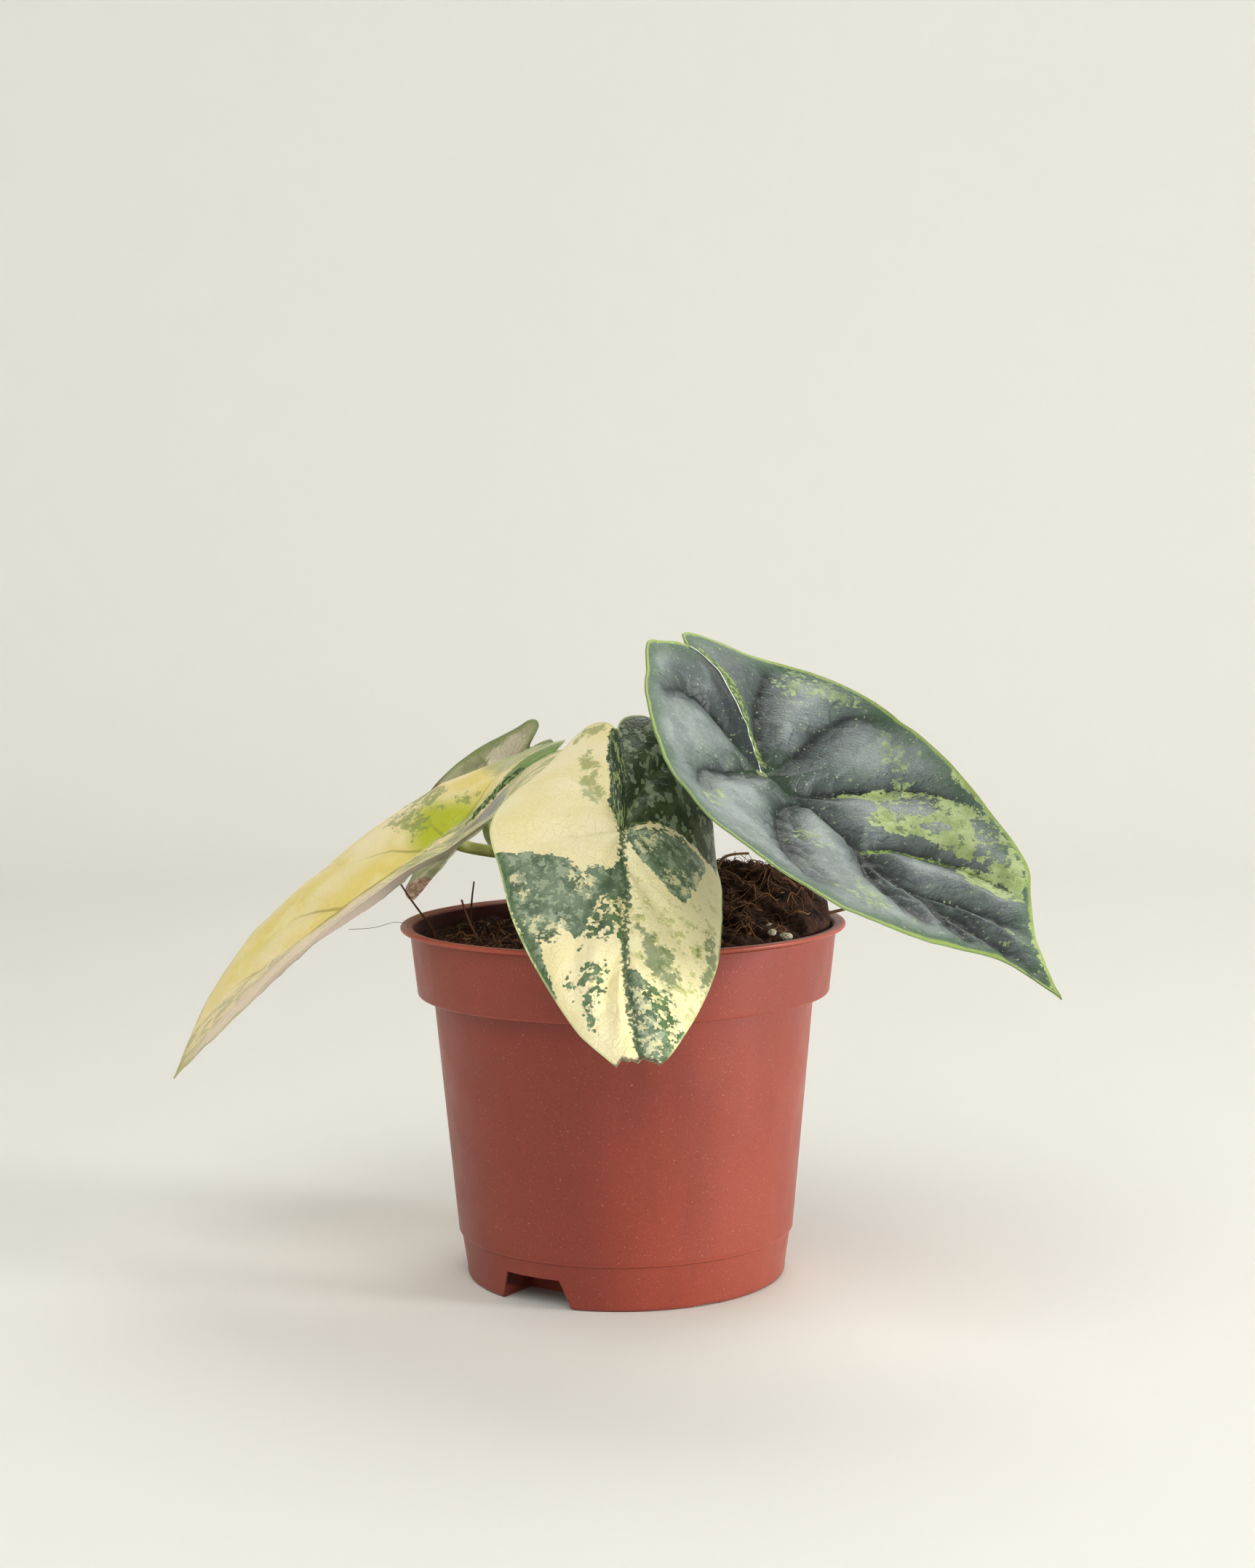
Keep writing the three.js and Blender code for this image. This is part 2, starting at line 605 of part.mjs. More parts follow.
// Half outline, evenly spaced from the rear notch to the tip, or to the bite that took the tip
function halfOutline(leaf, margin) {
  const stations = [[0, -leaf.behind / leaf.ahead], ...margin, [0, 1]];
  const curve = new THREE.SplineCurve(stations.map(([across, along]) => (
    new THREE.Vector2(across * leaf.halfWidth, along * leaf.ahead)
  )));
  let end = 1;
  while (leaf.bite && curve.getPointAt(end).y > leaf.bite.at * leaf.ahead) {
    end -= 0.002;
  }
  return Array.from({ length: BLADE_ROWS + 1 }, (_, row) => curve.getPointAt((end * row) / BLADE_ROWS));
}

// Side veins as runs of points in the flat blade
function veinsOf(leaf) {
  const runs = [];
  for (const side of [-1, 1]) {
    for (const [start, endAcross, endAlong] of SIDE_VEINS) {
      runs.push(Array.from({ length: VEIN_STEPS + 1 }, (_, k) => {
        const share = k / VEIN_STEPS;
        const along = start + (endAlong - start) * share ** SIDE_VEIN_CURVE;
        return new THREE.Vector2(side * endAcross * share * leaf.halfWidth, along * leaf.ahead);
      }));
    }
    runs.push(Array.from({ length: VEIN_STEPS + 1 }, (_, k) => {
      const share = k / VEIN_STEPS;
      const along = REAR_VEIN_END[1] * Math.sin((share * Math.PI) / 2);
      return new THREE.Vector2(side * REAR_VEIN_END[0] * share * leaf.halfWidth, along * leaf.ahead);
    }));
  }
  return runs;
}

function distanceToRun(run, x, y) {
  let nearest = Infinity;
  for (let k = 0; k < run.length - 1; k++) {
    const [ax, ay] = [run[k].x, run[k].y];
    const [bx, by] = [run[k + 1].x - ax, run[k + 1].y - ay];
    const share = clamp(((x - ax) * bx + (y - ay) * by) / (bx * bx + by * by), 0, 1);
    nearest = Math.min(nearest, Math.hypot(x - ax - share * bx, y - ay - share * by));
  }
  return nearest;
}

// Height of the blade's quilted relief: panels stand up between sunken veins and flatten at the margin
function quiltHeight(leaf, veins, x, y, margin) {
  const scale = leaf.halfWidth / 43;
  let valley = Math.exp(-((x / (MIDRIB_VALLEY * scale)) ** 2));
  for (const run of veins) {
    valley = Math.max(valley, Math.exp(-((distanceToRun(run, x, y) / (VEIN_VALLEY * scale)) ** 2)));
  }
  const tipFade = clamp((leaf.ahead - y) / (0.25 * leaf.ahead), 0, 1);
  const rearFade = clamp((y + leaf.behind) / 12 + 0.3, 0, 1);
  return leaf.quilt * (0.5 - valley) * (1 - margin ** 3) * tipFade * rearFade;
}

function blade(leaf, margins) {
  const veins = veinsOf(leaf);
  const outlines = { 1: halfOutline(leaf, margins.right), '-1': halfOutline(leaf, margins.left) };
  const rows = BLADE_ROWS;
  const columns = BLADE_COLUMNS.length - 1;
  const whole = !leaf.bite;
  const middleEnd = whole ? leaf.ahead : leaf.bite.at * leaf.ahead - leaf.bite.depth;
  const places = [];
  const addPoint = (x, y, height, rib) => {
    places.push(bladePoint(leaf, x, y, height + BLADE_THICKNESS / 2));
    places.push(bladePoint(leaf, x, y, height - BLADE_THICKNESS / 2 - rib));
    return places.length - 2;
  };
  const grid = [];
  for (let row = 0; row <= rows; row++) {
    const atPoint = row === 0 || (whole && row === rows);
    const bitten = !whole && row === rows;
    const middle = lerp(-leaf.behind, middleEnd, (row / rows) ** ROW_CROWDING);
    const line = [];
    for (let column = -columns; column <= columns; column++) {
      if (atPoint) {
        line.push(column === -columns ? addPoint(0, row === 0 ? -leaf.behind : leaf.ahead, 0, 0) : line[0]);
        continue;
      }
      const side = column < 0 ? -1 : 1;
      const reach = BLADE_COLUMNS[Math.abs(column)];
      const edge = outlines[side][row];
      const x = side * edge.x * reach;
      const ragged = bitten && Math.abs(column) % 2 === 1 ? leaf.bite.depth * 0.5 : 0;
      const y = middle + (edge.y - middle) * reach ** ROW_CURVE - ragged;
      const taper = clamp(1.15 - row / rows, 0.25, 1) * clamp(row / 4, 0, 1);
      const rib = RIB_DEPTHS[Math.abs(column)] * taper;
      line.push(addPoint(column === 0 ? 0 : x, y, quiltHeight(leaf, veins, x, y, reach), rib));
    }
    grid.push(line);
  }
  const faces = [];
  const addFace = (a, b, c) => {
    if (a !== b && b !== c && c !== a) {
      faces.push([a, b, c], [a + 1, c + 1, b + 1]);
    }
  };
  const addRim = (a, b) => faces.push([a + 1, b + 1, b], [a + 1, b, a]);
  for (let row = 0; row < rows; row++) {
    for (let k = 0; k < 2 * columns; k++) {
      const [a, b, c, d] = [grid[row][k], grid[row][k + 1], grid[row + 1][k + 1], grid[row + 1][k]];
      if (k < columns) {
        addFace(a, b, c);
        addFace(a, c, d);
      } else {
        addFace(a, b, d);
        addFace(b, c, d);
      }
    }
    addRim(grid[row][2 * columns], grid[row + 1][2 * columns]);
    addRim(grid[row + 1][0], grid[row][0]);
  }
  if (!whole) {
    for (let k = 2 * columns; k > 0; k--) {
      addRim(grid[rows][k], grid[rows][k - 1]);
    }
  }
  return geometryOf(places, faces);
}

// Assembly

const plant = new THREE.Group();

function addNode(name, look, geometry) {
  const [colour, roughness] = LOOKS[look];
  geometry.computeVertexNormals();
  const material = new THREE.MeshStandardMaterial({ color: colour, roughness, metalness: 0 });
  const mesh = new THREE.Mesh(geometry, material);
  mesh.name = name;
  plant.add(mesh);
  return mesh;
}

addNode('pot', 'pot', geometryOfSolid(pot()));

let soil = soilBody();
for (const bearing of POCKET_BEARINGS) {
  soil = soil.subtract(pocketBody(bearing, WALL + GAP));
}
for (const fibre of fibres()) {
  soil = soil.add(fibre);
}
for (const { points, radius } of STICKS) {
  soil = soil.add(solidOf(sweep(points, radius, radius, 4, 6)));
}
PERLITE.forEach((grain) => {
  soil = soil.subtract(solidOf(grainOfPerlite(grain, GAP)));
});
soil = soil.subtract(cormBody(GAP));
let corm = cormBody(0);
for (const stalk of Object.values(STALKS)) {
  const room = solidOf(stalkTube(stalk, GAP));
  soil = soil.subtract(room);
  corm = corm.subtract(room);
}
addNode('soil', 'soil', geometryOfSolid(soil));
addNode('corm', 'corm', geometryOfSolid(corm));
PERLITE.forEach((grain, index) => {
  addNode(`perlite_${index + 1}`, 'perlite', grainOfPerlite(grain, 0));
});

for (const [name, stalk] of Object.entries(STALKS)) {
  addNode(name, name, stalkTube(stalk, 0));
}

for (const [name, leaf] of Object.entries(LEAVES)) {
  const mesh = addNode(name, name, blade(leaf, MARGINS[name]));
  const { across, along, up } = bladeAxes(leaf);
  mesh.setRotationFromMatrix(new THREE.Matrix4().makeBasis(across, along, up));
  mesh.position.set(...leaf.at);
}

export default plant;
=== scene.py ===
# Looks of a potted alocasia with four variegated leaves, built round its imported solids.
# Sizes of the plant and pot are in millimetres until a mesh is made, then in metres.

import math
import random

import bmesh
import bpy
import numpy as np
from mathutils import Matrix, Vector, noise


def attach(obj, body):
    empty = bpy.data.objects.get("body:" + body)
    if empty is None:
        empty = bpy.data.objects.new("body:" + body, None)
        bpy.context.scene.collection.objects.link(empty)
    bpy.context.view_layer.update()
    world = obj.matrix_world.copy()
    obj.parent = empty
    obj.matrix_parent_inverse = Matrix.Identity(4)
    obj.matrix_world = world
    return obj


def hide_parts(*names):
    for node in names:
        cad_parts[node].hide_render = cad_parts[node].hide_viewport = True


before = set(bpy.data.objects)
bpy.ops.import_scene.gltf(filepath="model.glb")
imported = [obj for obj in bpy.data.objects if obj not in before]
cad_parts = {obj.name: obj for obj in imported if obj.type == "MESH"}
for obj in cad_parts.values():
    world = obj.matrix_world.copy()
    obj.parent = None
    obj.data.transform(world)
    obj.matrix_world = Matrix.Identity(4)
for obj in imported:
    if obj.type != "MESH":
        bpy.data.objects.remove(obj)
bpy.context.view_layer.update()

MM = 0.001
BLACK = (0.0, 0.0, 0.0, 1)

# Camera, in metres and degrees
CAMERA_PLACE = (0.0, -0.652, 0.1831)
CAMERA_YAW = 0.14
CAMERA_PITCH = 4.45
CAMERA_ROLL = -0.57
CAMERA_SENSOR = 36.0
CAMERA_LENS = 55.75

# Studio: the floor is flat, then curves up into a wall. Lights in metres and watts.
STUDIO_FLAT = 950
STUDIO_BEND = 700
STUDIO_TOP = 2300
STUDIO_SEGMENTS = 96
STUDIO_TINT = "#e1e0db"
AIR_TINT = (1.0, 0.995, 0.985, 1)
AIR_STRENGTH = 0.08
LIGHT_AIM = (0, 0, 0.08)
LIGHTS = (
    ("window", (1.3, -0.45, 0.2), 0.38, 26, (1.0, 0.99, 0.975)),
    ("sky", (0.45, 0.95, 1.5), 1.2, 11.8, (1.0, 0.99, 0.965)),
    ("front", (-0.1, -0.8, 1.1), 1.2, 9.8, (1.0, 0.99, 0.97)),
)

# Pot
POT_HEIGHT = 95.4
POT_SEGMENTS = 240
LIP_RADIUS = 60
COLLAR_TOP_RADIUS = 57.6
COLLAR_FOOT_RADIUS = 55.6
COLLAR_FOOT_Z = 76.6
BODY_TOP_RADIUS = 51.3
FOOT_STEP_Z = 12.3
FOOT_STEP_RADIUS = 45.4
FOOT_STEP_DEPTH = 0.7
BASE_RADIUS = 43.2
WALL = 1.1
FLOOR = 1.2
POCKET_BEARINGS = (-124, 56)
POCKET_FOOT_WIDTH = 22
POCKET_ROOF_WIDTH = 16.5
POCKET_HEIGHT = 7.8
POCKET_DEPTH = 14
DRAIN_RADIUS = 2.4
NOTCH_BEARINGS = (-61, -1, 119, 179)
NOTCH_WIDTH = 8
NOTCH_HEIGHT = 0.5
NOTCH_DEPTH = 5

# Root ball
SOIL_GAP = 0.35
SOIL_LOW = 90.5
SOIL_RAMP = 3.5
SOIL_RAMP_START = -20
SOIL_RAMP_END = 30
MOUND_HEIGHT = 15.5
MOUND_CENTRE = (28, 4)
MOUND_REACH = (27, 24)
CLOD_HEIGHT = 0.9
CRUMB_HEIGHT = 1.5
SOIL_RINGS = 74
SOIL_SPOKES = 230
FIBRE_COUNT = 2500
FIBRE_SEED = 7
FIBRE_START_REACH = 53
FIBRE_LIMIT = 54.2
FIBRE_CROWN_GAP = 10.5
CHIP_COUNT = 160
CHIP_REACH = 52
CHIP_CROWN_GAP = 12
STICKS = (
    (((-61.5, 8, 106.3), (-58, 7, 101), (-55, 6, 97), (-52, 5, 93), (-50, 4, 87)), 0.34),
    (((-42.9, -10, 102.7), (-41, -10, 97), (-38.5, -10, 91.4), (-37, -10, 86)), 0.42),
    (((-42.2, 34, 102.4), (-43, 34, 96), (-43.4, 33, 87)), 0.34),
    (((61.5, -1, 98.4), (56, -2, 97.2), (50, -4, 96.6), (44, -6, 94.5)), 0.6),
    (((34, -2, 113.5), (28, -4, 113), (25, -5, 109.5), (22, -6, 106)), 0.5),
    (((36.6, -2, 107), (37.8, -2, 109.9), (39.6, -2, 109.7), (41.2, -2, 106)), 0.35),
    (((-58.6, -2, 95.5), (-62, -2, 95.7), (-67, -2, 94.4), (-74, -2, 93.9)), 0.08),
)
PERLITE = {
    "perlite_1": ((38.2, -34.5), (1.1, 1.0, 0.9)),
    "perlite_2": ((41.7, -34), (1.8, 1.4, 1.1)),
    "perlite_3": ((38, -27.5), (1.1, 1.0, 0.9)),
}

# Crown and stalks: points from the crown to the blade, how far the last point stands below the blade's
# middle, and the radius at each end
CORM_CENTRE = (2.5, 2)
CORM_PROFILE = ((0, 66), (5.5, 70), (8.6, 78), (10, 89), (9.8, 97), (8.2, 102.5), (5, 105), (0, 105.6))
STALKS = {
    "petiole_right": (
        "leaf_right", ((7.5, 1, 99.5), (9.5, -2, 108), (15.5, -10, 120.5)), (11.2, 1.6), 2.3, 1.7,
    ),
    "petiole_front": (
        "leaf_front",
        ((2.5, -3, 99.5), (2.3, -7, 104.5), (1.8, -16, 109.5), (1.2, -28, 113.5), (0.6, -39, 118)),
        (5.8, 1.2), 2.1, 1.6,
    ),
    "petiole_left": (
        "leaf_left",
        (
            (-2.5, 1.5, 99.5), (-6.5, 3.2, 105), (-16, 8.5, 109), (-28, 13.2, 112),
            (-37.8, 15.2, 113.2), (-43.5, 15.2, 114.4),
        ),
        (1.2,), 2.1, 1.6,
    ),
    "petiole_back": (
        "leaf_back",
        (
            (-1, 7, 99.5), (-5, 8.4, 104), (-15, 14, 106.5), (-27, 24, 109),
            (-36, 39, 112), (-39.2, 50, 115.6), (-38.4, 57, 119.5),
        ),
        (1.0,), 1.9, 1.2,
    ),
}

STALK_TINTS = {
    "right": ("#6f7b42", "#566534"),
    "front": ("#8b9350", "#6f7d42"),
    # The left stalk's tints are lighter than its own green, as painted light that offsets the shade the leaf
    # casts on it.
    "left": ("#bcc271", "#a3ab5e"),
    "back": ("#868f58", "#6d784a"),
}

# Blades: lengths in mm, turns in degrees, and each pair is the right half, then the left.
# Heading, dip and roll turn the blade at its stalk. Arch and droop bend the midrib down, and rise and
# hump bend the part behind the stalk. Fold lifts each half, and curl rolls its margin down.
# Margins, veins, lines and patches are points in shares of the half width and of the length ahead of
# the stalk. Margins leave out the notch at the rear and the tip.
BLADE_THICKNESS = 0.75
MARGIN_THICKNESS = 0.4
ROW_CURVE = 1.3
ROW_CROWDING = 1.25
FOLD_EASE = 0.25
BRANCH_SEED = 11

# Relief of the blades in mm, where each pair is a height and a width
FAR_AWAY = 60.0
MODEL_HALF_WIDTH = 43
VEIN_TAPER = 1.4
CREASE_WIDTH = 4.8
CREASE_LENGTH = 2.0
CREASE_EASE = 0.5
BROAD_SHARE = 0.65
SPINE_VALLEY = 3.5
PUCKER_DEPTH = 0.11
PUCKER_WIDTH = 0.9
SEAM_RIDGE = (0.45, 0.55)
SEAM_TROUGH = (0.5, 2.4)
CRINKLE_HEIGHT = 0.16
EDGE_WAVE_HEIGHT = 0.7
MIDRIB_RIB = (1.2, 1.1)
SIDE_RIB = (0.55, 0.9)
UNDERSIDE_OFFSET = 40.0
PLAIN_MIDRIB = ((0, 0), (0, 0.3), (0, 0.6), (0, 1))
PLAIN_VEINS = (
    ((0, 0), (0.2, -0.14), (0.5, -0.24), (0.85, -0.26)),
    ((0, 0), (0.3, 0), (0.6, 0.0), (0.92, 0.03)),
    ((0, 0.09), (0.3, 0.16), (0.6, 0.28), (0.82, 0.43)),
    ((0, 0.34), (0.2, 0.43), (0.36, 0.56), (0.48, 0.7)),
    ((0, 0.56), (0.12, 0.65), (0.24, 0.77), (0.31, 0.86)),
)


def mirrored(runs):
    return tuple(tuple((-x, y) for x, y in run) for run in runs)


LEAVES = {
    "leaf_right": {
        "at": (36.8, -33.3, 138.3), "heading": -43.5, "dip": 44, "roll": 4,
        "ahead": 103.5, "behind": 39.5, "half_width": 43.5, "skew": 0.02,
        "arch": -79, "droop": 73, "rise": 19, "hump": 0,
        "sweep": 4, "sweep_behind": 13, "twist": -8, "twist_behind": -6,
        "fold": (-7, 0), "fold_ahead": (0, 2), "fold_behind": (0, -19), "curl": (-24, -53),
        "quilt": 3.9, "rows": 200, "columns": 78, "slot": "blade_silver",
        "margins": (
            (
                (0.13, -0.4), (0.45, -0.418), (0.56, -0.398), (0.64, -0.345), (0.8, -0.27), (0.93, -0.16),
                (1, -0.04), (1.05, 0.08), (1.065, 0.17), (1.05, 0.29), (0.99, 0.41), (0.89, 0.52),
                (0.74, 0.62), (0.52, 0.71), (0.3, 0.775), (0.15, 0.83), (0.07, 0.89),
            ),
            (
                (0.03, -0.408), (0.14, -0.42), (0.28, -0.42), (0.43, -0.406), (0.55, -0.378), (0.67, -0.33),
                (0.82, -0.275), (0.925, -0.205), (0.985, -0.1), (1, 0.02), (1.02, 0.11), (1, 0.23),
                (0.925, 0.365), (0.825, 0.485), (0.73, 0.585), (0.64, 0.65), (0.5, 0.705), (0.28, 0.8),
                (0.19, 0.85), (0.045, 0.955),
            ),
        ),
        "midrib": (
            (0, 0), (-0.05, 0.06), (-0.1, 0.13), (-0.1, 0.22), (-0.07, 0.33), (0, 0.42),
            (0.02, 0.5), (0.02, 0.62), (0.02, 0.75), (0, 0.88), (0, 1),
        ),
        "seam": (
            (0, -0.375), (-0.12, -0.36), (-0.18, -0.31), (-0.15, -0.25), (-0.1, -0.18),
            (-0.08, -0.12), (-0.05, -0.05), (0, 0),
        ),
        "veins": (
            (
                (0, 0), (-0.16, -0.09), (-0.3, -0.16), (-0.45, -0.21), (-0.59, -0.25), (-0.72, -0.27),
                (-0.9, -0.24),
            ),
            ((-0.03, 0), (-0.35, -0.03), (-0.55, -0.06), (-0.8, -0.07), (-0.95, 0)),
            (
                (-0.08, 0.08), (-0.31, 0.11), (-0.47, 0.13), (-0.56, 0.17), (-0.68, 0.21), (-0.77, 0.28),
                (-0.82, 0.38),
            ),
            ((-0.07, 0.33), (-0.26, 0.36), (-0.37, 0.44), (-0.43, 0.53), (-0.44, 0.62), (-0.43, 0.7)),
            ((0.02, 0.5), (-0.1, 0.6), (-0.19, 0.7), (-0.22, 0.8)),
            ((0, 0), (0.05, -0.09), (0.08, -0.15), (0.13, -0.21), (0.2, -0.25), (0.33, -0.27), (0.55, -0.27)),
            ((0, 0), (0.13, -0.01), (0.34, -0.01), (0.57, -0.01), (0.76, 0.05)),
            ((-0.08, 0.12), (0.08, 0.12), (0.28, 0.18), (0.47, 0.27), (0.6, 0.35), (0.69, 0.45)),
            ((-0.07, 0.33), (0.1, 0.42), (0.18, 0.5), (0.22, 0.57), (0.28, 0.66)),
            ((0.02, 0.56), (0.05, 0.62), (0.14, 0.7), (0.16, 0.77)),
        ),
    },
    "leaf_front": {
        "at": (0.4, -48.3, 126.1), "heading": -87.5, "dip": 47, "roll": 10,
        "ahead": 79, "behind": 32, "half_width": 32.5, "skew": 0.01,
        "arch": 6, "droop": -2, "rise": -5, "hump": 0,
        "sweep": -3, "sweep_behind": 1, "twist": -17, "twist_behind": 5,
        "fold": (3, -9), "fold_ahead": (-6, -1), "fold_behind": (-34, 6), "curl": (26, 42),
        "quilt": 1.5, "rows": 190, "columns": 72, "slot": "blade_cream",
        "bite": (0.87, 1.6),
        "margins": (
            (
                (0.09, -0.457), (0.25, -0.492), (0.36, -0.49), (0.48, -0.46), (0.82, -0.28), (0.95, -0.15),
                (1.015, -0.02), (1.025, 0.04), (0.95, 0.17), (0.885, 0.31), (0.78, 0.44), (0.62, 0.59),
                (0.445, 0.73), (0.336, 0.792), (0.15, 0.88), (0.07, 0.95),
            ),
            (
                (0.04, -0.445), (0.12, -0.472), (0.24, -0.482), (0.38, -0.465), (0.52, -0.42), (0.66, -0.34),
                (0.88, -0.165), (0.985, 0.03), (0.9, 0.24), (0.75, 0.44), (0.56, 0.62), (0.34, 0.775),
                (0.15, 0.89),
            ),
        ),
        "midrib": (
            (0, 0), (0.02, 0.12), (0, 0.27), (0.04, 0.45), (0.04, 0.63), (0, 0.8), (-0.02, 0.87),
            (-0.02, 1),
        ),
        "seam": ((0, -0.4), (0.01, -0.27), (0.02, -0.16), (0.02, -0.06), (0, 0)),
        "veins": (
            ((0, 0), (0.09, -0.08), (0.28, -0.18), (0.55, -0.25), (0.8, -0.2)),
            ((0, 0.02), (0.26, 0.05), (0.48, 0.06), (0.69, 0.08), (0.9, 0.1)),
            (
                (0.02, 0.16), (0.14, 0.24), (0.28, 0.34), (0.38, 0.41), (0.42, 0.49), (0.44, 0.57),
                (0.42, 0.66),
            ),
            ((0.04, 0.45), (0.14, 0.55), (0.2, 0.66), (0.21, 0.75)),
            ((0, 0), (-0.13, -0.12), (-0.31, -0.25), (-0.5, -0.33)),
            ((0, 0), (-0.25, -0.04), (-0.46, -0.06), (-0.64, -0.03), (-0.85, 0.03)),
            ((0, 0.15), (-0.18, 0.26), (-0.37, 0.38), (-0.47, 0.51), (-0.48, 0.62)),
            ((0.04, 0.45), (-0.16, 0.55), (-0.26, 0.64), (-0.3, 0.75)),
        ),
    },
    "leaf_left": {
        "at": (-47.3, 11.5, 117.5), "heading": 176.5, "dip": 30, "roll": 33,
        "ahead": 106.5, "behind": 38, "half_width": 37.5, "skew": -0.04,
        "arch": 15, "droop": 10, "rise": -2, "hump": 18,
        "sweep": -6, "sweep_behind": 0, "twist": -2, "twist_behind": 3,
        "fold": (18, 16), "fold_ahead": (-5, -3), "fold_behind": (-30, -9), "curl": (65, -29),
        "quilt": 1.4, "rows": 200, "columns": 74, "slot": "blade_yellow",
        "margins": (
            (
                (0.08, -0.385), (0.18, -0.39), (0.32, -0.37), (0.5, -0.31), (0.72, -0.22), (0.9, -0.11),
                (1, 0.04), (0.98, 0.2), (0.9, 0.33), (0.8, 0.46), (0.67, 0.58), (0.52, 0.68),
                (0.36, 0.77), (0.22, 0.85), (0.04, 0.96),
            ),
            (
                (0.1, -0.4), (0.26, -0.4), (0.5, -0.35), (0.74, -0.25), (0.93, -0.11), (1, 0.06),
                (0.95, 0.24), (0.83, 0.42), (0.62, 0.62), (0.4, 0.76), (0.07, 0.945),
            ),
        ),
        "midrib": PLAIN_MIDRIB,
        "seam": ((0, -0.355), (0.01, -0.2), (0.01, -0.1), (0, 0)),
        "veins": (
            ((0, 0), (0.2, -0.14), (0.5, -0.22), (0.85, -0.24)),
            ((0, 0.01), (0.16, 0.03), (0.29, 0.04), (0.47, 0.04), (0.8, 0.05)),
            ((0, 0.07), (0.1, 0.12), (0.22, 0.17), (0.36, 0.26), (0.6, 0.36), (0.9, 0.42)),
            ((0, 0.34), (0.14, 0.41), (0.24, 0.47), (0.28, 0.53), (0.28, 0.62)),
            ((0, 0.58), (0.09, 0.65), (0.14, 0.72), (0.17, 0.8)),
        ) + mirrored(PLAIN_VEINS),
    },
    "leaf_back": {
        "at": (-38.4, 65.2, 125.5), "heading": 136.5, "dip": 43, "roll": 0,
        "ahead": 50, "behind": 20, "half_width": 23, "skew": -0.07,
        "arch": 4, "droop": -1, "rise": -2, "hump": 0,
        "sweep": -1, "sweep_behind": 7, "twist": 9, "twist_behind": 4,
        "fold": (14, 17), "fold_ahead": (2, -2), "fold_behind": (-5, 1), "curl": (12, 15),
        "quilt": 1.0, "rows": 130, "columns": 44, "slot": "blade_grey",
        "margins": (
            (
                (0.16, -0.485), (0.26, -0.49), (0.38, -0.44), (0.75, -0.25), (0.92, -0.1), (1, 0.03),
                (0.95, 0.2), (0.8, 0.36), (0.42, 0.57), (0.34, 0.64), (0.3, 0.8), (0.2, 0.94), (0.1, 0.99),
            ),
            (
                (0.05, -0.43), (0.15, -0.57), (0.31, -0.582), (0.43, -0.455), (0.82, -0.16), (0.945, 0.06),
                (0.93, 0.2), (0.85, 0.34), (0.7, 0.48), (0.38, 0.68), (0.315, 0.74), (0.28, 0.87),
                (0.21, 0.94), (0.09, 0.985),
            ),
        ),
        "midrib": PLAIN_MIDRIB,
        "seam": ((0, -0.4), (0, -0.2), (0, 0)),
        "veins": PLAIN_VEINS + mirrored(PLAIN_VEINS),
    },
}
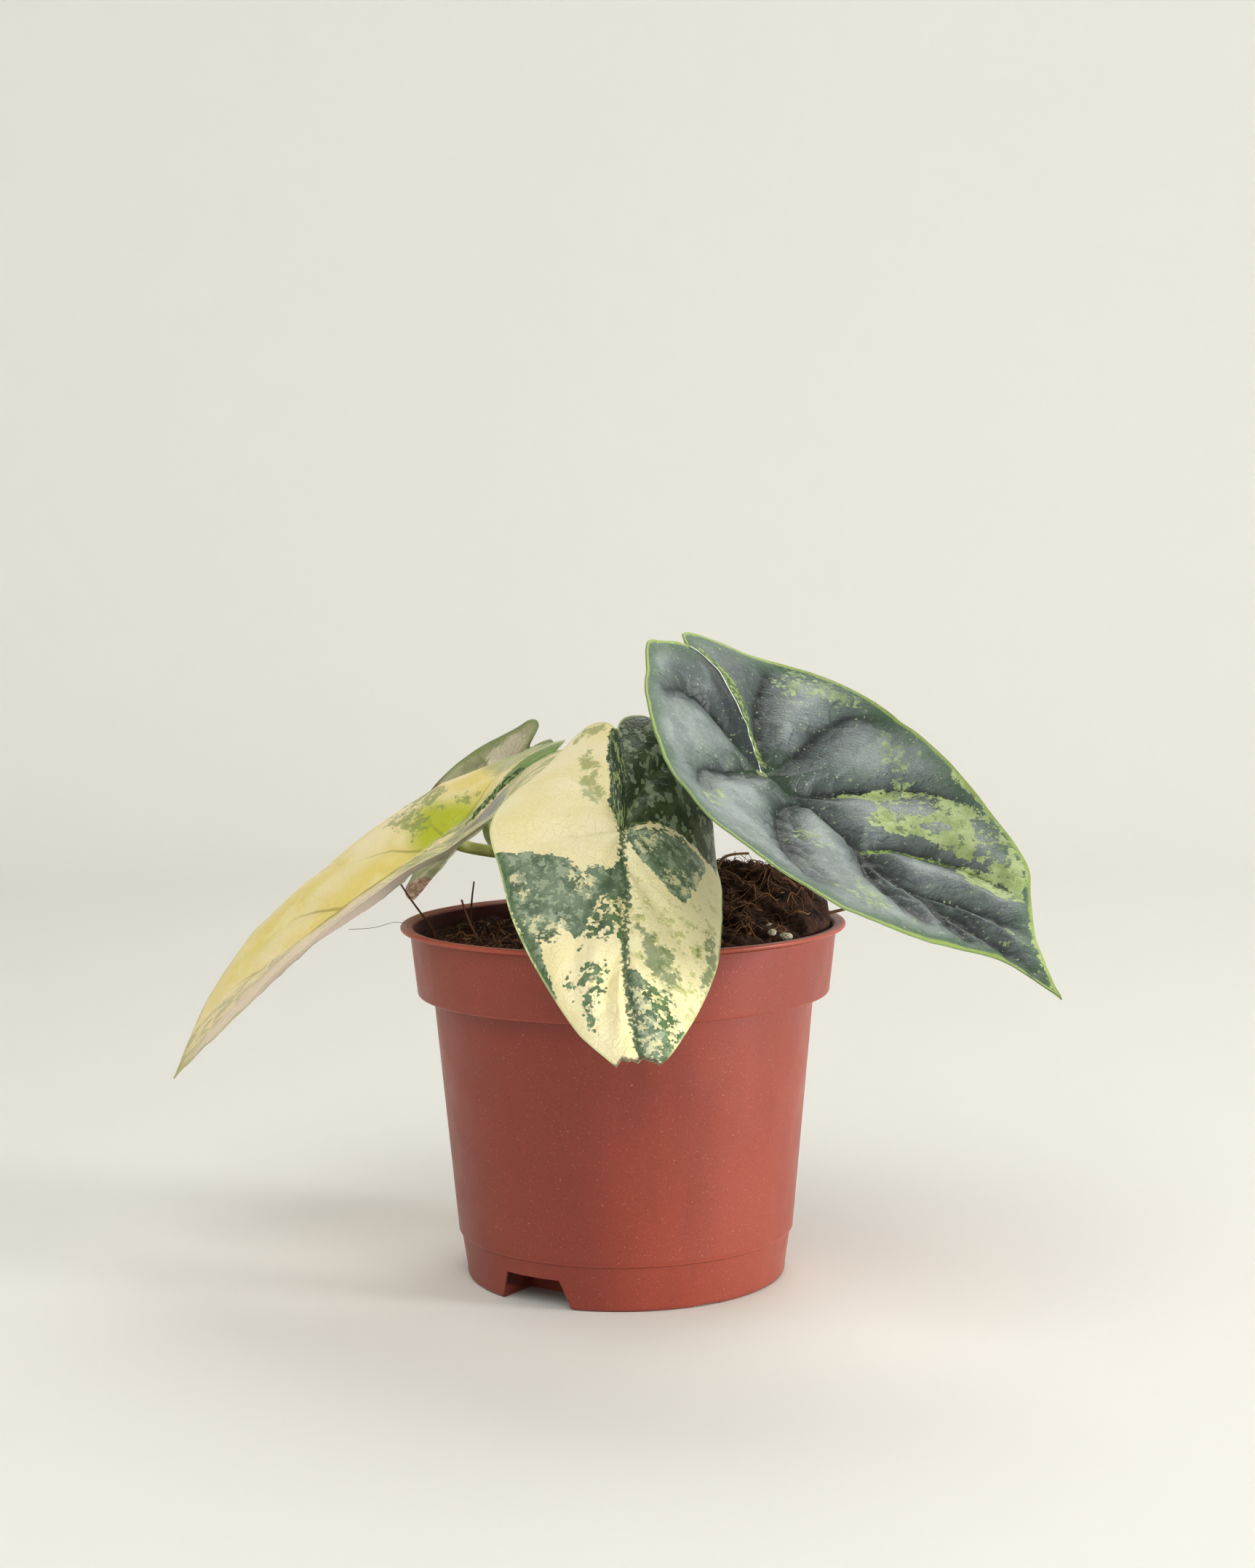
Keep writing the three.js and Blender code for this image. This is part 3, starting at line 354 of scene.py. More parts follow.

# Patches of colour on each blade, as rings of points, a few of them painted shade. Each field name is used by
# that blade's material.
PATCHES = {
    "leaf_right": {
        "lime": (
            (
                (-0.3, 0.12), (-0.44, 0.14), (-0.54, 0.16), (-0.68, 0.21), (-0.77, 0.29), (-0.82, 0.37),
                (-0.81, 0.47), (-0.74, 0.55), (-0.62, 0.64), (-0.44, 0.7), (-0.46, 0.63), (-0.52, 0.56),
                (-0.48, 0.47), (-0.46, 0.4), (-0.34, 0.32), (-0.27, 0.26), (-0.36, 0.25), (-0.46, 0.22),
                (-0.42, 0.18),
            ),
            (
                (-0.42, 0.51), (-0.47, 0.56), (-0.45, 0.64), (-0.42, 0.71), (-0.36, 0.68), (-0.31, 0.6),
                (-0.36, 0.54),
            ),
            (
                (-0.98, 0.26), (-0.96, 0.34), (-0.85, 0.49), (-0.71, 0.62), (-0.47, 0.72), (-0.62, 0.64),
                (-0.77, 0.53), (-0.88, 0.4), (-0.92, 0.3),
            ),
            ((-0.5, 0.72), (-0.34, 0.79), (-0.07, 0.95), (0.0, 1.0), (-0.08, 0.9), (-0.28, 0.79)),
        ),
        "island": (
            ((-0.59, 0.23), (-0.71, 0.26), (-0.74, 0.31), (-0.65, 0.34), (-0.5, 0.3), (-0.47, 0.24)),
            (
                (-0.75, 0.43), (-0.79, 0.47), (-0.76, 0.51), (-0.66, 0.58), (-0.57, 0.59), (-0.54, 0.52),
                (-0.65, 0.49),
            ),
            ((-0.53, 0.35), (-0.65, 0.4), (-0.6, 0.42), (-0.51, 0.38)),
        ),
        "fleck": (
            (
                (-0.62, -0.26), (-0.83, -0.26), (-0.96, -0.2), (-0.98, -0.05), (-0.9, -0.03), (-0.81, -0.08),
                (-0.7, -0.14), (-0.53, -0.18),
            ),
            ((-0.6, -0.17), (-0.61, -0.12), (-0.52, -0.07), (-0.45, -0.09)),
            ((-0.88, 0.0), (-0.96, 0.11), (-0.96, 0.21), (-0.87, 0.17), (-0.76, 0.24), (-0.62, 0.18)),
            ((0.84, 0.07), (0.6, 0.06), (0.6, 0.12), (0.78, 0.17), (0.92, 0.16)),
            ((0.29, 0.19), (0.19, 0.21), (0.13, 0.31), (0.32, 0.36), (0.36, 0.29), (0.46, 0.27)),
            ((0.63, 0.41), (0.54, 0.5), (0.39, 0.57), (0.42, 0.64), (0.63, 0.62), (0.68, 0.53)),
            ((-0.14, 0.74), (-0.2, 0.78), (-0.14, 0.83), (-0.05, 0.83), (-0.05, 0.77)),
            ((0.43, 0.46), (0.32, 0.5), (0.37, 0.6), (0.43, 0.73), (0.52, 0.61), (0.6, 0.54)),
            ((-0.22, 0.84), (-0.1, 0.86), (-0.02, 0.96), (-0.05, 1.0), (-0.2, 0.95)),
        ),
        "strip": (
            (
                (-0.17, -0.37), (-0.23, -0.37), (-0.27, -0.3), (-0.24, -0.22), (-0.17, -0.12), (-0.06, -0.01),
                (-0.1, -0.12), (-0.15, -0.2), (-0.19, -0.3),
            ),
            (
                (-0.1, 0.325), (-0.26, 0.352), (-0.38, 0.435), (-0.44, 0.53), (-0.45, 0.62), (-0.44, 0.7),
                (-0.43, 0.62), (-0.42, 0.535), (-0.36, 0.447), (-0.25, 0.368), (-0.1, 0.34),
            ),
        ),
        # Rings of painted shade on both rear lobes and beside a vein near the stalk.
        "dusk_shade": (
            (
                (-0.42, -0.38), (-0.62, -0.31), (-0.55, -0.25), (-0.3, -0.15), (-0.06, -0.02), (-0.18, -0.18),
                (-0.25, -0.3),
            ),
            (
                (-0.03, 0.0), (-0.26, -0.03), (-0.48, -0.03), (-0.44, 0.08), (-0.3, 0.14), (-0.3, 0.22),
                (-0.18, 0.12), (-0.07, 0.05),
            ),
            (
                (0.03, -0.36), (0.2, -0.38), (0.4, -0.33), (0.36, -0.2), (0.22, -0.1), (0.06, -0.06),
                (0.05, -0.2),
            ),
        ),
        # Painted shade in the gully along the seam, between the rear lobes.
        "gully_shade": (
            (
                (0.0, -0.37), (0.02, -0.3), (0.04, -0.18), (0.03, -0.06), (0, 0), (-0.05, -0.05),
                (-0.09, -0.13), (-0.14, -0.23), (-0.19, -0.3), (-0.14, -0.37),
            ),
        ),
    },
    "leaf_front": {
        "dark": (
            (
                (0.97, 0.11), (0.76, 0.11), (0.6, 0.12), (0.47, 0.14), (0.38, 0.18), (0.29, 0.24),
                (0.2, 0.27), (0.28, 0.34), (0.39, 0.43), (0.5, 0.38), (0.58, 0.4), (0.72, 0.39),
                (0.76, 0.32), (0.83, 0.23),
            ),
            (
                (0.99, 0.1), (0.86, 0.12), (0.78, 0.24), (0.72, 0.36), (0.64, 0.5), (0.56, 0.62),
                (0.64, 0.62), (0.75, 0.46), (0.86, 0.33), (0.93, 0.23),
            ),
            (
                (-0.03, 0.04), (-0.3, 0.0), (-0.6, 0.01), (-0.76, 0.04), (-0.58, 0.19), (-0.45, 0.26),
                (-0.3, 0.21), (-0.14, 0.14),
            ),
            ((0.31, 0.19), (0.1, 0.17), (0.02, 0.1), (0.0, 0.27), (0.2, 0.27)),
            (
                (0.03, 0.56), (-0.05, 0.56), (-0.1, 0.66), (-0.2, 0.75), (-0.24, 0.83), (-0.17, 0.88),
                (-0.02, 0.88), (0.01, 0.76),
            ),
        ),
        "mottle": (
            (
                (0.0, 0.02), (-0.25, -0.03), (-0.46, -0.04), (-0.7, -0.01), (-0.75, 0.06), (-0.55, 0.19),
                (-0.45, 0.26), (-0.36, 0.24), (-0.28, 0.21), (-0.18, 0.17), (-0.06, 0.1),
            ),
            ((0.54, 0.54), (0.43, 0.52), (0.44, 0.64), (0.53, 0.6)),
            (
                (0.42, 0.52), (0.25, 0.5), (0.14, 0.52), (0.18, 0.61), (0.26, 0.66), (0.26, 0.77),
                (0.38, 0.73), (0.42, 0.61),
            ),
            (
                (0.06, 0.17), (0.0, 0.27), (0.02, 0.44), (0.15, 0.45), (0.33, 0.45), (0.4, 0.48),
                (0.34, 0.36), (0.2, 0.27),
            ),
            ((0.08, 0.4), (0.0, 0.42), (0.03, 0.64), (0.08, 0.62)),
            (
                (0.04, 0.55), (-0.1, 0.58), (-0.28, 0.6), (-0.34, 0.73), (-0.39, 0.76), (-0.17, 0.89),
                (-0.02, 0.89), (0.01, 0.78),
            ),
            ((0.9, 0.24), (0.62, 0.3), (0.5, 0.42), (0.66, 0.44), (0.8, 0.4)),
        ),
        "fleck": (
            ((0.88, 0.17), (0.76, 0.18), (0.68, 0.25), (0.78, 0.29), (0.88, 0.23)),
            ((0.8, 0.3), (0.62, 0.34), (0.46, 0.34), (0.5, 0.42), (0.7, 0.42), (0.8, 0.37)),
            ((0.46, 0.16), (0.3, 0.17), (0.22, 0.22), (0.26, 0.3), (0.4, 0.28), (0.48, 0.22)),
            ((0.04, 0.56), (-0.1, 0.62), (-0.24, 0.72), (-0.2, 0.86), (-0.02, 0.89)),
            ((-0.75, 0.03), (-0.5, 0.12), (-0.25, 0.14), (-0.3, 0.22), (-0.5, 0.24), (-0.7, 0.12)),
            ((-0.04, 0.03), (-0.3, -0.01), (-0.34, 0.05), (-0.2, 0.13), (-0.08, 0.1)),
        ),
        "blur": (
            ((0.34, -0.3), (0.21, -0.36), (0.13, -0.23), (0.14, -0.09), (0.23, -0.06), (0.34, -0.13)),
            ((0.4, -0.5), (0.05, -0.46), (0.08, -0.4), (0.25, -0.42), (0.4, -0.42)),
        ),
        "smear": (
            (
                (-0.02, 0.34), (-0.13, 0.4), (-0.25, 0.44), (-0.36, 0.5), (-0.34, 0.6), (-0.22, 0.6),
                (-0.08, 0.5),
            ),
            ((-0.66, 0.34), (-0.78, 0.38), (-0.66, 0.58), (-0.54, 0.6), (-0.58, 0.46)),
        ),
        "warm": (
            (
                (-0.02, 0.14), (-0.4, 0.27), (-0.8, 0.1), (-0.98, 0.2), (-0.8, 0.5), (-0.5, 0.74),
                (-0.2, 0.7), (0.0, 0.5),
            ),
        ),
        "lobe": (
            (
                (0.03, -0.42), (-0.29, -0.52), (-0.6, -0.4), (-0.9, -0.25), (-1.05, -0.1), (-0.95, 0.04),
                (-0.85, 0.02), (-0.7, -0.01), (-0.46, -0.04), (-0.25, -0.04), (0.0, 0.02), (0.05, -0.03),
                (0.1, -0.08), (0.08, -0.18), (0.09, -0.28),
            ),
        ),
        "pale": (
            (
                (-0.93, 0.02), (-0.85, 0.14), (-0.8, 0.26), (-0.82, 0.38), (-0.92, 0.3), (-1.02, 0.14),
                (-1.02, 0.02),
            ),
        ),
    },
    "leaf_left": {
        "lime": (
            ((0.43, 0.04), (0.28, -0.02), (0.15, -0.08), (0.02, -0.08), (0.0, 0.06), (0.12, 0.08)),
        ),
        "far": (
            ((-0.02, -0.5), (-0.02, 0.3), (-0.02, 1.1), (-2, 1.1), (-2, 0.3), (-2, -0.5)),
        ),
        "warm": (
            ((0.0, 0.05), (0.12, 0.12), (0.22, 0.22), (0.12, 0.34), (0.0, 0.5), (-0.1, 0.4), (-0.05, 0.2)),
            ((0.68, -0.06), (0.9, -0.14), (0.3, -0.18), (0.12, -0.12)),
            ((0.3, 0.4), (0.5, 0.3), (0.44, 0.6), (0.2, 0.7)),
        ),
        "dark": (
            ((0.02, -0.05), (0.0, -0.14), (0.0, -0.27), (0.05, -0.28), (0.07, -0.2), (0.06, -0.1)),
            ((0.3, -0.38), (0.6, -0.31), (0.84, -0.22), (0.74, -0.21), (0.48, -0.29), (0.28, -0.34)),
        ),
        "band": (
            ((0.0, -0.2), (-0.03, -0.3), (-0.03, -0.38), (0.1, -0.38), (0.13, -0.3), (0.08, -0.2)),
        ),
        "olive": (
            (
                (0.22, -0.2), (0.45, -0.15), (0.83, -0.13), (1.08, -0.14), (1.08, -0.3), (0.6, -0.42),
                (0.12, -0.42), (0.14, -0.26),
            ),
        ),
        "lilac": (
            ((-0.03, -0.02), (-0.02, -0.16), (-0.12, -0.21), (-0.24, -0.16), (-0.26, -0.07), (-0.12, 0.0)),
        ),
        "pink": (
            ((-0.1, 0.3), (-0.6, 0.15), (-1.02, 0.1), (-1.0, 0.3), (-0.7, 0.6), (-0.2, 0.9), (-0.05, 0.8)),
        ),
        "mottle": (
            ((0.68, 0.12), (0.43, 0.03), (0.2, 0.03), (0.12, 0.09), (0.29, 0.12), (0.5, 0.16)),
            ((0.45, 0.03), (0.29, -0.03), (0.3, 0.02)),
            ((0.34, -0.05), (0.22, -0.13), (0.14, -0.1), (0.24, -0.05)),
            ((1.05, 0.12), (0.85, 0.0), (0.48, -0.04), (0.4, 0.03), (0.8, 0.12)),
            ((0.15, -0.38), (0.5, -0.33), (0.88, -0.19), (0.75, -0.12), (0.45, -0.22), (0.15, -0.27)),
        ),
    },
    "leaf_back": {
        "blush": (
            ((-0.1, -0.42), (-0.36, -0.46), (-0.44, -0.28), (-0.3, -0.12), (-0.1, -0.2)),
            ((0.3, -0.2), (0.8, -0.2), (0.6, 0.1), (0.2, 0.0)),
        ),
        "brown": (
            ((-1.05, 0.0), (-0.9, -0.05), (-0.86, 0.08), (-1.0, 0.14)),
            ((-0.3, 0.84), (0.0, 0.78), (0.3, 0.84), (0.2, 1.02), (-0.2, 1.02)),
        ),
    },
}


# Plain tools

def colour(text):
    """The linear colour of a hex code."""
    parts = [int(text[k:k + 2], 16) / 255 for k in (1, 3, 5)]
    linear = [p / 12.92 if p <= 0.04045 else ((p + 0.055) / 1.055) ** 2.4 for p in parts]
    return (*linear, 1.0)


def smoothstep(value, low, high):
    share = np.clip((value - low) / (high - low), 0, 1)
    return share * share * (3 - 2 * share)


def bell(distance, height, width):
    """A rounded hump of some height that fades with distance."""
    return height * np.exp(-((distance / width) ** 2))


def curve_through(points, steps, closed=False):
    """Points evenly spaced in parameter on a smooth curve through the given ones."""
    points = np.asarray(points, float)
    count = len(points)
    spans = count if closed else count - 1
    place = np.linspace(0, spans, steps + 1)
    if closed:
        place = place[:-1]
    span = np.minimum(place.astype(int), spans - 1)
    share = (place - span)[:, None]

    def at(offset):
        index = span + offset
        return points[index % count] if closed else points[np.clip(index, 0, count - 1)]

    before, first, second, after = at(-1), at(0), at(1), at(2)
    return 0.5 * (
        2 * first
        + (second - before) * share
        + (2 * before - 5 * first + 4 * second - after) * share ** 2
        + (3 * first - before - 3 * second + after) * share ** 3
    )


def even_spacing(points, steps):
    """Points evenly spaced by length along a run of points."""
    lengths = np.linalg.norm(np.diff(points, axis=0), axis=1)
    along = np.concatenate([[0], np.cumsum(lengths)])
    wanted = np.linspace(0, along[-1], steps + 1)
    return np.stack([np.interp(wanted, along, points[:, k]) for k in range(points.shape[1])], axis=1)


def distance_to_run(run, x, y):
    """Distance from each point to a run of straight pieces, and the share of the run it is nearest to."""
    nearest = np.full(x.shape, np.inf)
    share_of_run = np.zeros(x.shape)
    pieces = len(run) - 1
    for k in range(pieces):
        ax, ay = run[k]
        bx, by = run[k + 1] - run[k]
        share = np.clip(((x - ax) * bx + (y - ay) * by) / (bx * bx + by * by + 1e-12), 0, 1)
        away = np.hypot(x - ax - share * bx, y - ay - share * by)
        closer = away < nearest
        nearest = np.where(closer, away, nearest)
        share_of_run = np.where(closer, (k + share) / pieces, share_of_run)
    return nearest, share_of_run


def inside_ring(ring, x, y):
    inside = np.zeros(x.shape, bool)
    for (ax, ay), (bx, by) in zip(ring, np.roll(ring, -1, axis=0)):
        crosses = (ay > y) != (by > y)
        level = (bx - ax) * (y - ay) / (by - ay + 1e-12) + ax
        inside ^= crosses & (x < level)
    return inside


def depth_in_rings(rings, x, y):
    """How deep each point lies inside the nearest ring, less than zero outside all of them."""
    deepest = np.full(x.shape, -50.0)
    for ring in rings:
        away, _ = distance_to_run(np.vstack([ring, ring[:1]]), x, y)
        deepest = np.maximum(deepest, np.where(inside_ring(ring, x, y), away, -away))
    return deepest


def ring_of(radius, z, count):
    """Points evenly spaced on a level circle."""
    angles = [2 * math.pi * k / count for k in range(count)]
    return [(radius * math.cos(angle), radius * math.sin(angle), z) for angle in angles]


def capped_rings(rings, sides):
    """Faces that join rings of points into a closed body with flat ends."""
    faces = []
    for ring in range(rings - 1):
        for k in range(sides):
            a, b = ring * sides + k, ring * sides + (k + 1) % sides
            faces.append((a, b, b + sides, a + sides))
    last = (rings - 1) * sides
    return faces + [tuple(reversed(range(sides))), tuple(range(last, last + sides))]


def fanned_rings(rings, sides):
    """Faces that fan from one first point to a ring of points, and join that ring to the next ones."""
    faces = []
    for k in range(sides):
        after = (k + 1) % sides
        faces.append((0, 1 + k, 1 + after))
        for ring in range(rings - 1):
            a, b = 1 + ring * sides, 1 + (ring + 1) * sides
            faces.append((a + k, b + k, b + after, a + after))
    return faces


def set_fields(mesh, fields):
    for label, values in fields.items():
        layer = mesh.attributes.new(label, "FLOAT", "POINT")
        layer.data.foreach_set("value", np.asarray(values, np.float32))


def make_mesh(name, places, faces, fields=None, vectors=None, sharp=50):
    """A mesh object from places in mm, with number and vector fields on its points."""
    mesh = bpy.data.meshes.new(name)
    mesh.from_pydata((np.asarray(places) * MM).tolist(), [], faces)
    set_fields(mesh, fields or {})
    for label, values in (vectors or {}).items():
        layer = mesh.attributes.new(label, "FLOAT_VECTOR", "POINT")
        layer.data.foreach_set("vector", np.asarray(values, np.float32).ravel())
    editable = bmesh.new()
    editable.from_mesh(mesh)
    bmesh.ops.recalc_face_normals(editable, faces=editable.faces)
    editable.to_mesh(mesh)
    editable.free()
    mesh.shade_smooth()
    mesh.set_sharp_from_angle(angle=math.radians(sharp))
    piece = bpy.data.objects.new(name, mesh)
    bpy.context.scene.collection.objects.link(piece)
    return piece


def dress(piece, material, slot, *nodes):
    """Gives a piece its material and the root body, and hides the nodes that it stands for. The slot is not
    used.
    """
    piece.data.materials.append(material)
    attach(piece, "root")
    if nodes:
        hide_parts(*nodes)


def tube(points, radii, sides, flatness=1.0):
    """Places and faces of a tube with closed ends along points, with a radius at each point."""
    points = np.asarray(points, float)
    tangents = np.gradient(points, axis=0)
    tangents /= np.linalg.norm(tangents, axis=1)[:, None] + 1e-12
    side = np.cross(tangents[0], (0, 0, 1))
    if np.linalg.norm(side) < 0.1:
        side = np.cross(tangents[0], (1, 0, 0))
    places = []
    angles = np.arange(sides) * 2 * math.pi / sides
    for point, tangent, radius in zip(points, tangents, radii):
        side = side - tangent * np.dot(side, tangent)
        side /= np.linalg.norm(side)
        other = np.cross(tangent, side)
        ring = point + radius * (np.outer(np.cos(angles), side) + flatness * np.outer(np.sin(angles), other))
        places.extend(ring)
    return places, capped_rings(len(points), sides)


# Materials

class Finish:
    """A procedural material, built node by node."""

    def __init__(self, name, roughness, specular=0.5):
        self.material = bpy.data.materials.new(name)
        self.material.use_nodes = True
        self.tree = self.material.node_tree
        self.shader = self.tree.nodes["Principled BSDF"]
        self.shader.inputs["Roughness"].default_value = roughness
        self.shader.inputs["Specular IOR Level"].default_value = specular

    def add(self, kind, feeds=None, **settings):
        node = self.tree.nodes.new(kind)
        for key, value in settings.items():
            setattr(node, key, value)
        for key, value in (feeds or {}).items():
            self.feed(node.inputs[key], value)
        return node

    def feed(self, socket, value):
        if isinstance(value, bpy.types.NodeSocket):
            self.tree.links.new(value, socket)
        else:
            socket.default_value = value

    def field(self, name):
        return self.add("ShaderNodeAttribute", attribute_name=name).outputs["Fac"]

    def place(self, name):
        return self.add("ShaderNodeAttribute", attribute_name=name).outputs["Vector"]

    def object_place(self):
        return self.add("ShaderNodeTexCoord").outputs["Object"]

    def stretched(self, place, scale, turn=0.0):
        feeds = {"Vector": place, "Scale": scale, "Rotation": (0, 0, math.radians(turn))}
        return self.add("ShaderNodeMapping", feeds).outputs["Vector"]

    def noise(self, place, scale, detail=3.0, roughness=0.55, distortion=0.0):
        feeds = {
            "Vector": place, "Scale": scale, "Detail": detail,
            "Roughness": roughness, "Distortion": distortion,
        }
        return self.add("ShaderNodeTexNoise", feeds).outputs["Fac"]

    def cell_edges(self, place, scale):
        feeds = {"Vector": place, "Scale": scale}
        return self.add("ShaderNodeTexVoronoi", feeds, feature="DISTANCE_TO_EDGE").outputs["Distance"]

    def sum(self, *values):
        total = values[0]
        for value in values[1:]:
            total = self.add("ShaderNodeMath", {0: total, 1: value}, operation="ADD").outputs[0]
        return total

    def times(self, first, second):
        return self.add("ShaderNodeMath", {0: first, 1: second}, operation="MULTIPLY").outputs[0]

    def ramp(self, value, low, high, to_low=0.0, to_high=1.0, kind="SMOOTHSTEP"):
        feeds = {"Value": value, "From Min": low, "From Max": high, "To Min": to_low, "To Max": to_high}
        return self.add("ShaderNodeMapRange", feeds, interpolation_type=kind).outputs["Result"]

    def mix(self, share, first, second):
        node = self.add("ShaderNodeMix", data_type="RGBA")
        self.feed(node.inputs[0], share)
        self.feed(node.inputs[6], first)
        self.feed(node.inputs[7], second)
        return node.outputs[2]

    def paint(self, base, mask, code):
        """A colour with another one over it where the mask is."""
        return self.mix(mask, base, colour(code))

    def tones(self, value, low, high, first, second):
        """A colour that goes from one tone to another as a value rises."""
        return self.mix(self.ramp(value, low, high), colour(first), colour(second))

    def near(self, distance, low, high, strength):
        """A mask that is strongest at short distances and gone at long ones."""
        return self.ramp(distance, low, high, strength, 0.0)

    def blocks(self, place, size):
        """Places snapped to small uneven cells of about some size in mm, for blocky patches."""
        feeds = {"Vector": place, "Scale": 1 / size}
        return self.add("ShaderNodeTexVoronoi", feeds).outputs["Position"]

    def ragged(self, depth, place, scale, reach, soft, size=0.8):
        """A mask of where a patch is, its edge broken into blocks over some reach in mm."""
        broken = self.noise(self.blocks(place, size), scale, 5.0, 0.7)
        shift = self.ramp(broken, 0.25, 0.75, -reach, reach, "LINEAR")
        return self.ramp(self.sum(depth, shift), -soft, soft)

    def flecked(self, depth, place, scale, share, size=0.7, soft=0.03, fade=2.5):
        """A mask of blocky flecks that cover about some share of a patch and thin out past its edge."""
        lift = self.ramp(depth, -fade, fade, -0.3, share - 0.5, "LINEAR")
        grain = self.noise(self.blocks(place, size), scale, 4.0, 0.7)
        return self.ramp(self.sum(grain, lift), 0.5 - soft, 0.5 + soft)

    def scattered(self, place, scale, above, size, strength):
        """A mask of blocky flecks over the whole blade, where noise is above some value."""
        grain = self.noise(self.blocks(place, size), scale, 3.0, 0.7)
        return self.ramp(grain, above - 0.01, above + 0.02, 0.0, strength)

    def bump(self, height, distance, strength=1.0, below=None):
        feeds = {"Height": height, "Distance": distance, "Strength": strength}
        if below is not None:
            feeds["Normal"] = below
        return self.add("ShaderNodeBump", feeds).outputs["Normal"]

    def finish(self, base, roughness=None, normal=None):
        self.feed(self.shader.inputs["Base Color"], base)
        if roughness is not None:
            self.feed(self.shader.inputs["Roughness"], roughness)
        if normal is not None:
            self.feed(self.shader.inputs["Normal"], normal)
        return self.material


def skin_bump(look, place):
    """Fine netted veins and pores of a waxy blade."""
    net = look.cell_edges(place, 0.45)
    fine = look.noise(place, 1.6, 4.0, 0.6)
    veinlets = look.bump(look.ramp(net, 0.0, 0.12, 0.0, 1.0), 0.00012, 0.5)
    return look.bump(fine, 0.00015, 0.35, veinlets)


def paler_below(look, base, tint, share):
    """The colour of a blade, paler on its lower face."""
    return look.paint(base, look.times(look.field("under"), share), tint)


def grained(look, base, place, tint, share):
    """A colour with fine dark grain in it."""
    grain = look.noise(place, 2.8, 2.0, 0.6)
    return look.mix(look.ramp(grain, 0.35, 0.65, share, 0.0), base, colour(tint))


def silver_skin():
    """Slate and silver blade with near-black creases that are partly painted shade, lime patches and a lime
    margin, with painted highlights on the panel tops and painted shade on some patches and along the seam.
    """
    look = Finish("silver_blade", 0.46, 0.3)
    place = look.place("flat")
    vein, rim, net = look.field("vein"), look.field("rim"), look.field("net")
    wobble = look.ramp(look.noise(place, 0.12, 4.0, 0.6), 0.3, 0.7, -1.4, 1.4, "LINEAR")
    turned_place = look.stretched(place, (1, 1, 1), 30)
    hairs = look.stretched(turned_place, (0.2, 2.0, 1))
    streaks = look.noise(hairs, 1.1, 3.0, 0.6)
    silver = look.tones(streaks, 0.3, 0.7, "#5a6267", "#87908f")
    cloud = look.noise(place, 0.06, 3.0, 0.5)
    silver = look.paint(silver, look.ramp(cloud, 0.4, 0.62, 0.0, 0.55), "#5c6f5c")
    # Painted highlight: panel tops away from the veins are lightened where the light falls on them.
    crown = look.ramp(look.sum(vein, wobble), 4.5, 10.0, 0.0, 0.6)
    silver = look.paint(silver, crown, "#a3adaa")
    gloom = look.noise(place, 0.09, 3.0, 0.55)
    silver = look.paint(silver, look.ramp(gloom, 0.42, 0.6, 0.0, 0.4), "#3f4a48")
    # Painted shade over the rear lobes and beside a vein near the stalk.
    dusk_shade = look.ramp(look.sum(look.field("dusk_shade"), look.times(wobble, 2.0)), -4.0, 4.0, 0.0, 0.8)
    silver = look.paint(silver, dusk_shade, "#3f4a48")
    # Darker towards the veins, with a near-black line on them: partly the blade's own dark veins, partly
    # painted shade in the creases.
    shade = look.ramp(look.sum(vein, wobble), -0.8, 5.5)
    base = look.mix(shade, colour("#171e1d"), silver)
    base = look.paint(base, look.near(vein, 0.3, 2.0, 1.0), "#080e0a")
    base = look.paint(base, look.near(net, 0.1, 0.5, 0.6), "#2b3634")
    spread = look.sum(look.field("hub"), look.times(wobble, 3.0))
    hub = look.near(spread, 3.0, 17.0, 1.0)
    base = look.paint(base, hub, "#1b3218")
    # Painted shade in the gully along the seam, between the rear lobes.
    base = look.paint(base, look.ramp(look.field("gully_shade"), -1.5, 1.5, 0.0, 0.92), "#1e2426")
    greener = look.near(look.sum(rim, wobble), 0.8, 8.0, 0.8)
    base = look.paint(base, greener, "#405c40")
    base = grained(look, base, place, "#30393a", 0.4)
    base = look.paint(base, look.scattered(place, 0.9, 0.64, 0.45, 0.6), "#93a579")
    fleck_tint = look.tones(look.noise(place, 0.3), 0.4, 0.6, "#7d9163", "#a0b474")
    flecks = look.flecked(look.field("fleck"), place, 0.38, 0.5, 0.6, 0.04, 4.0)
    base = look.mix(look.times(flecks, 0.7), base, fleck_tint)
    patch = look.noise(place, 0.2, 4.0, 0.6)
    lime = look.tones(patch, 0.35, 0.65, "#86985f", "#a3b27c")
    lime = look.paint(lime, look.near(net, 0.1, 0.4, 0.4), "#b5bf66")
    lime = look.paint(lime, look.scattered(place, 0.3, 0.57, 0.7, 0.75), "#53664d")
    lime = look.paint(lime, look.near(vein, 0.2, 1.0, 0.8), "#9aad45")
    islands = look.ragged(look.field("island"), place, 0.3, 2.6, 0.2, 0.7)
    islands = look.mix(look.scattered(place, 0.45, 0.56, 0.5, 0.9), islands, BLACK)
    patch_edge = look.ragged(look.field("lime"), place, 0.25, 1.9, 0.15, 0.6)
    base = look.mix(look.mix(islands, patch_edge, BLACK), base, lime)
    strip = look.ragged(look.field("strip"), place, 0.5, 0.4, 0.2, 0.5)
    streaked = look.mix(look.scattered(place, 0.7, 0.5, 0.4, 0.9), colour("#42562f"), colour("#869b50"))
    base = look.mix(look.times(strip, 0.9), base, streaked)
    border = look.near(look.sum(rim, look.times(wobble, 0.2)), 0.5, 1.2, 0.85)
    base = look.paint(base, border, "#8a9f50")
    seam = look.near(look.field("seam"), 0.1, 0.32, 1.0)
    base = look.paint(base, seam, "#eef3e6")
    base = paler_below(look, base, "#8fa583", 0.75)
    gloss = look.ramp(look.noise(place, 0.5, 3.0, 0.6), 0.3, 0.7, 0.4, 0.54)
    gloss = look.mix(seam, gloss, (0.15, 0.15, 0.15, 1))
    return look.finish(base, gloss, skin_bump(look, place))


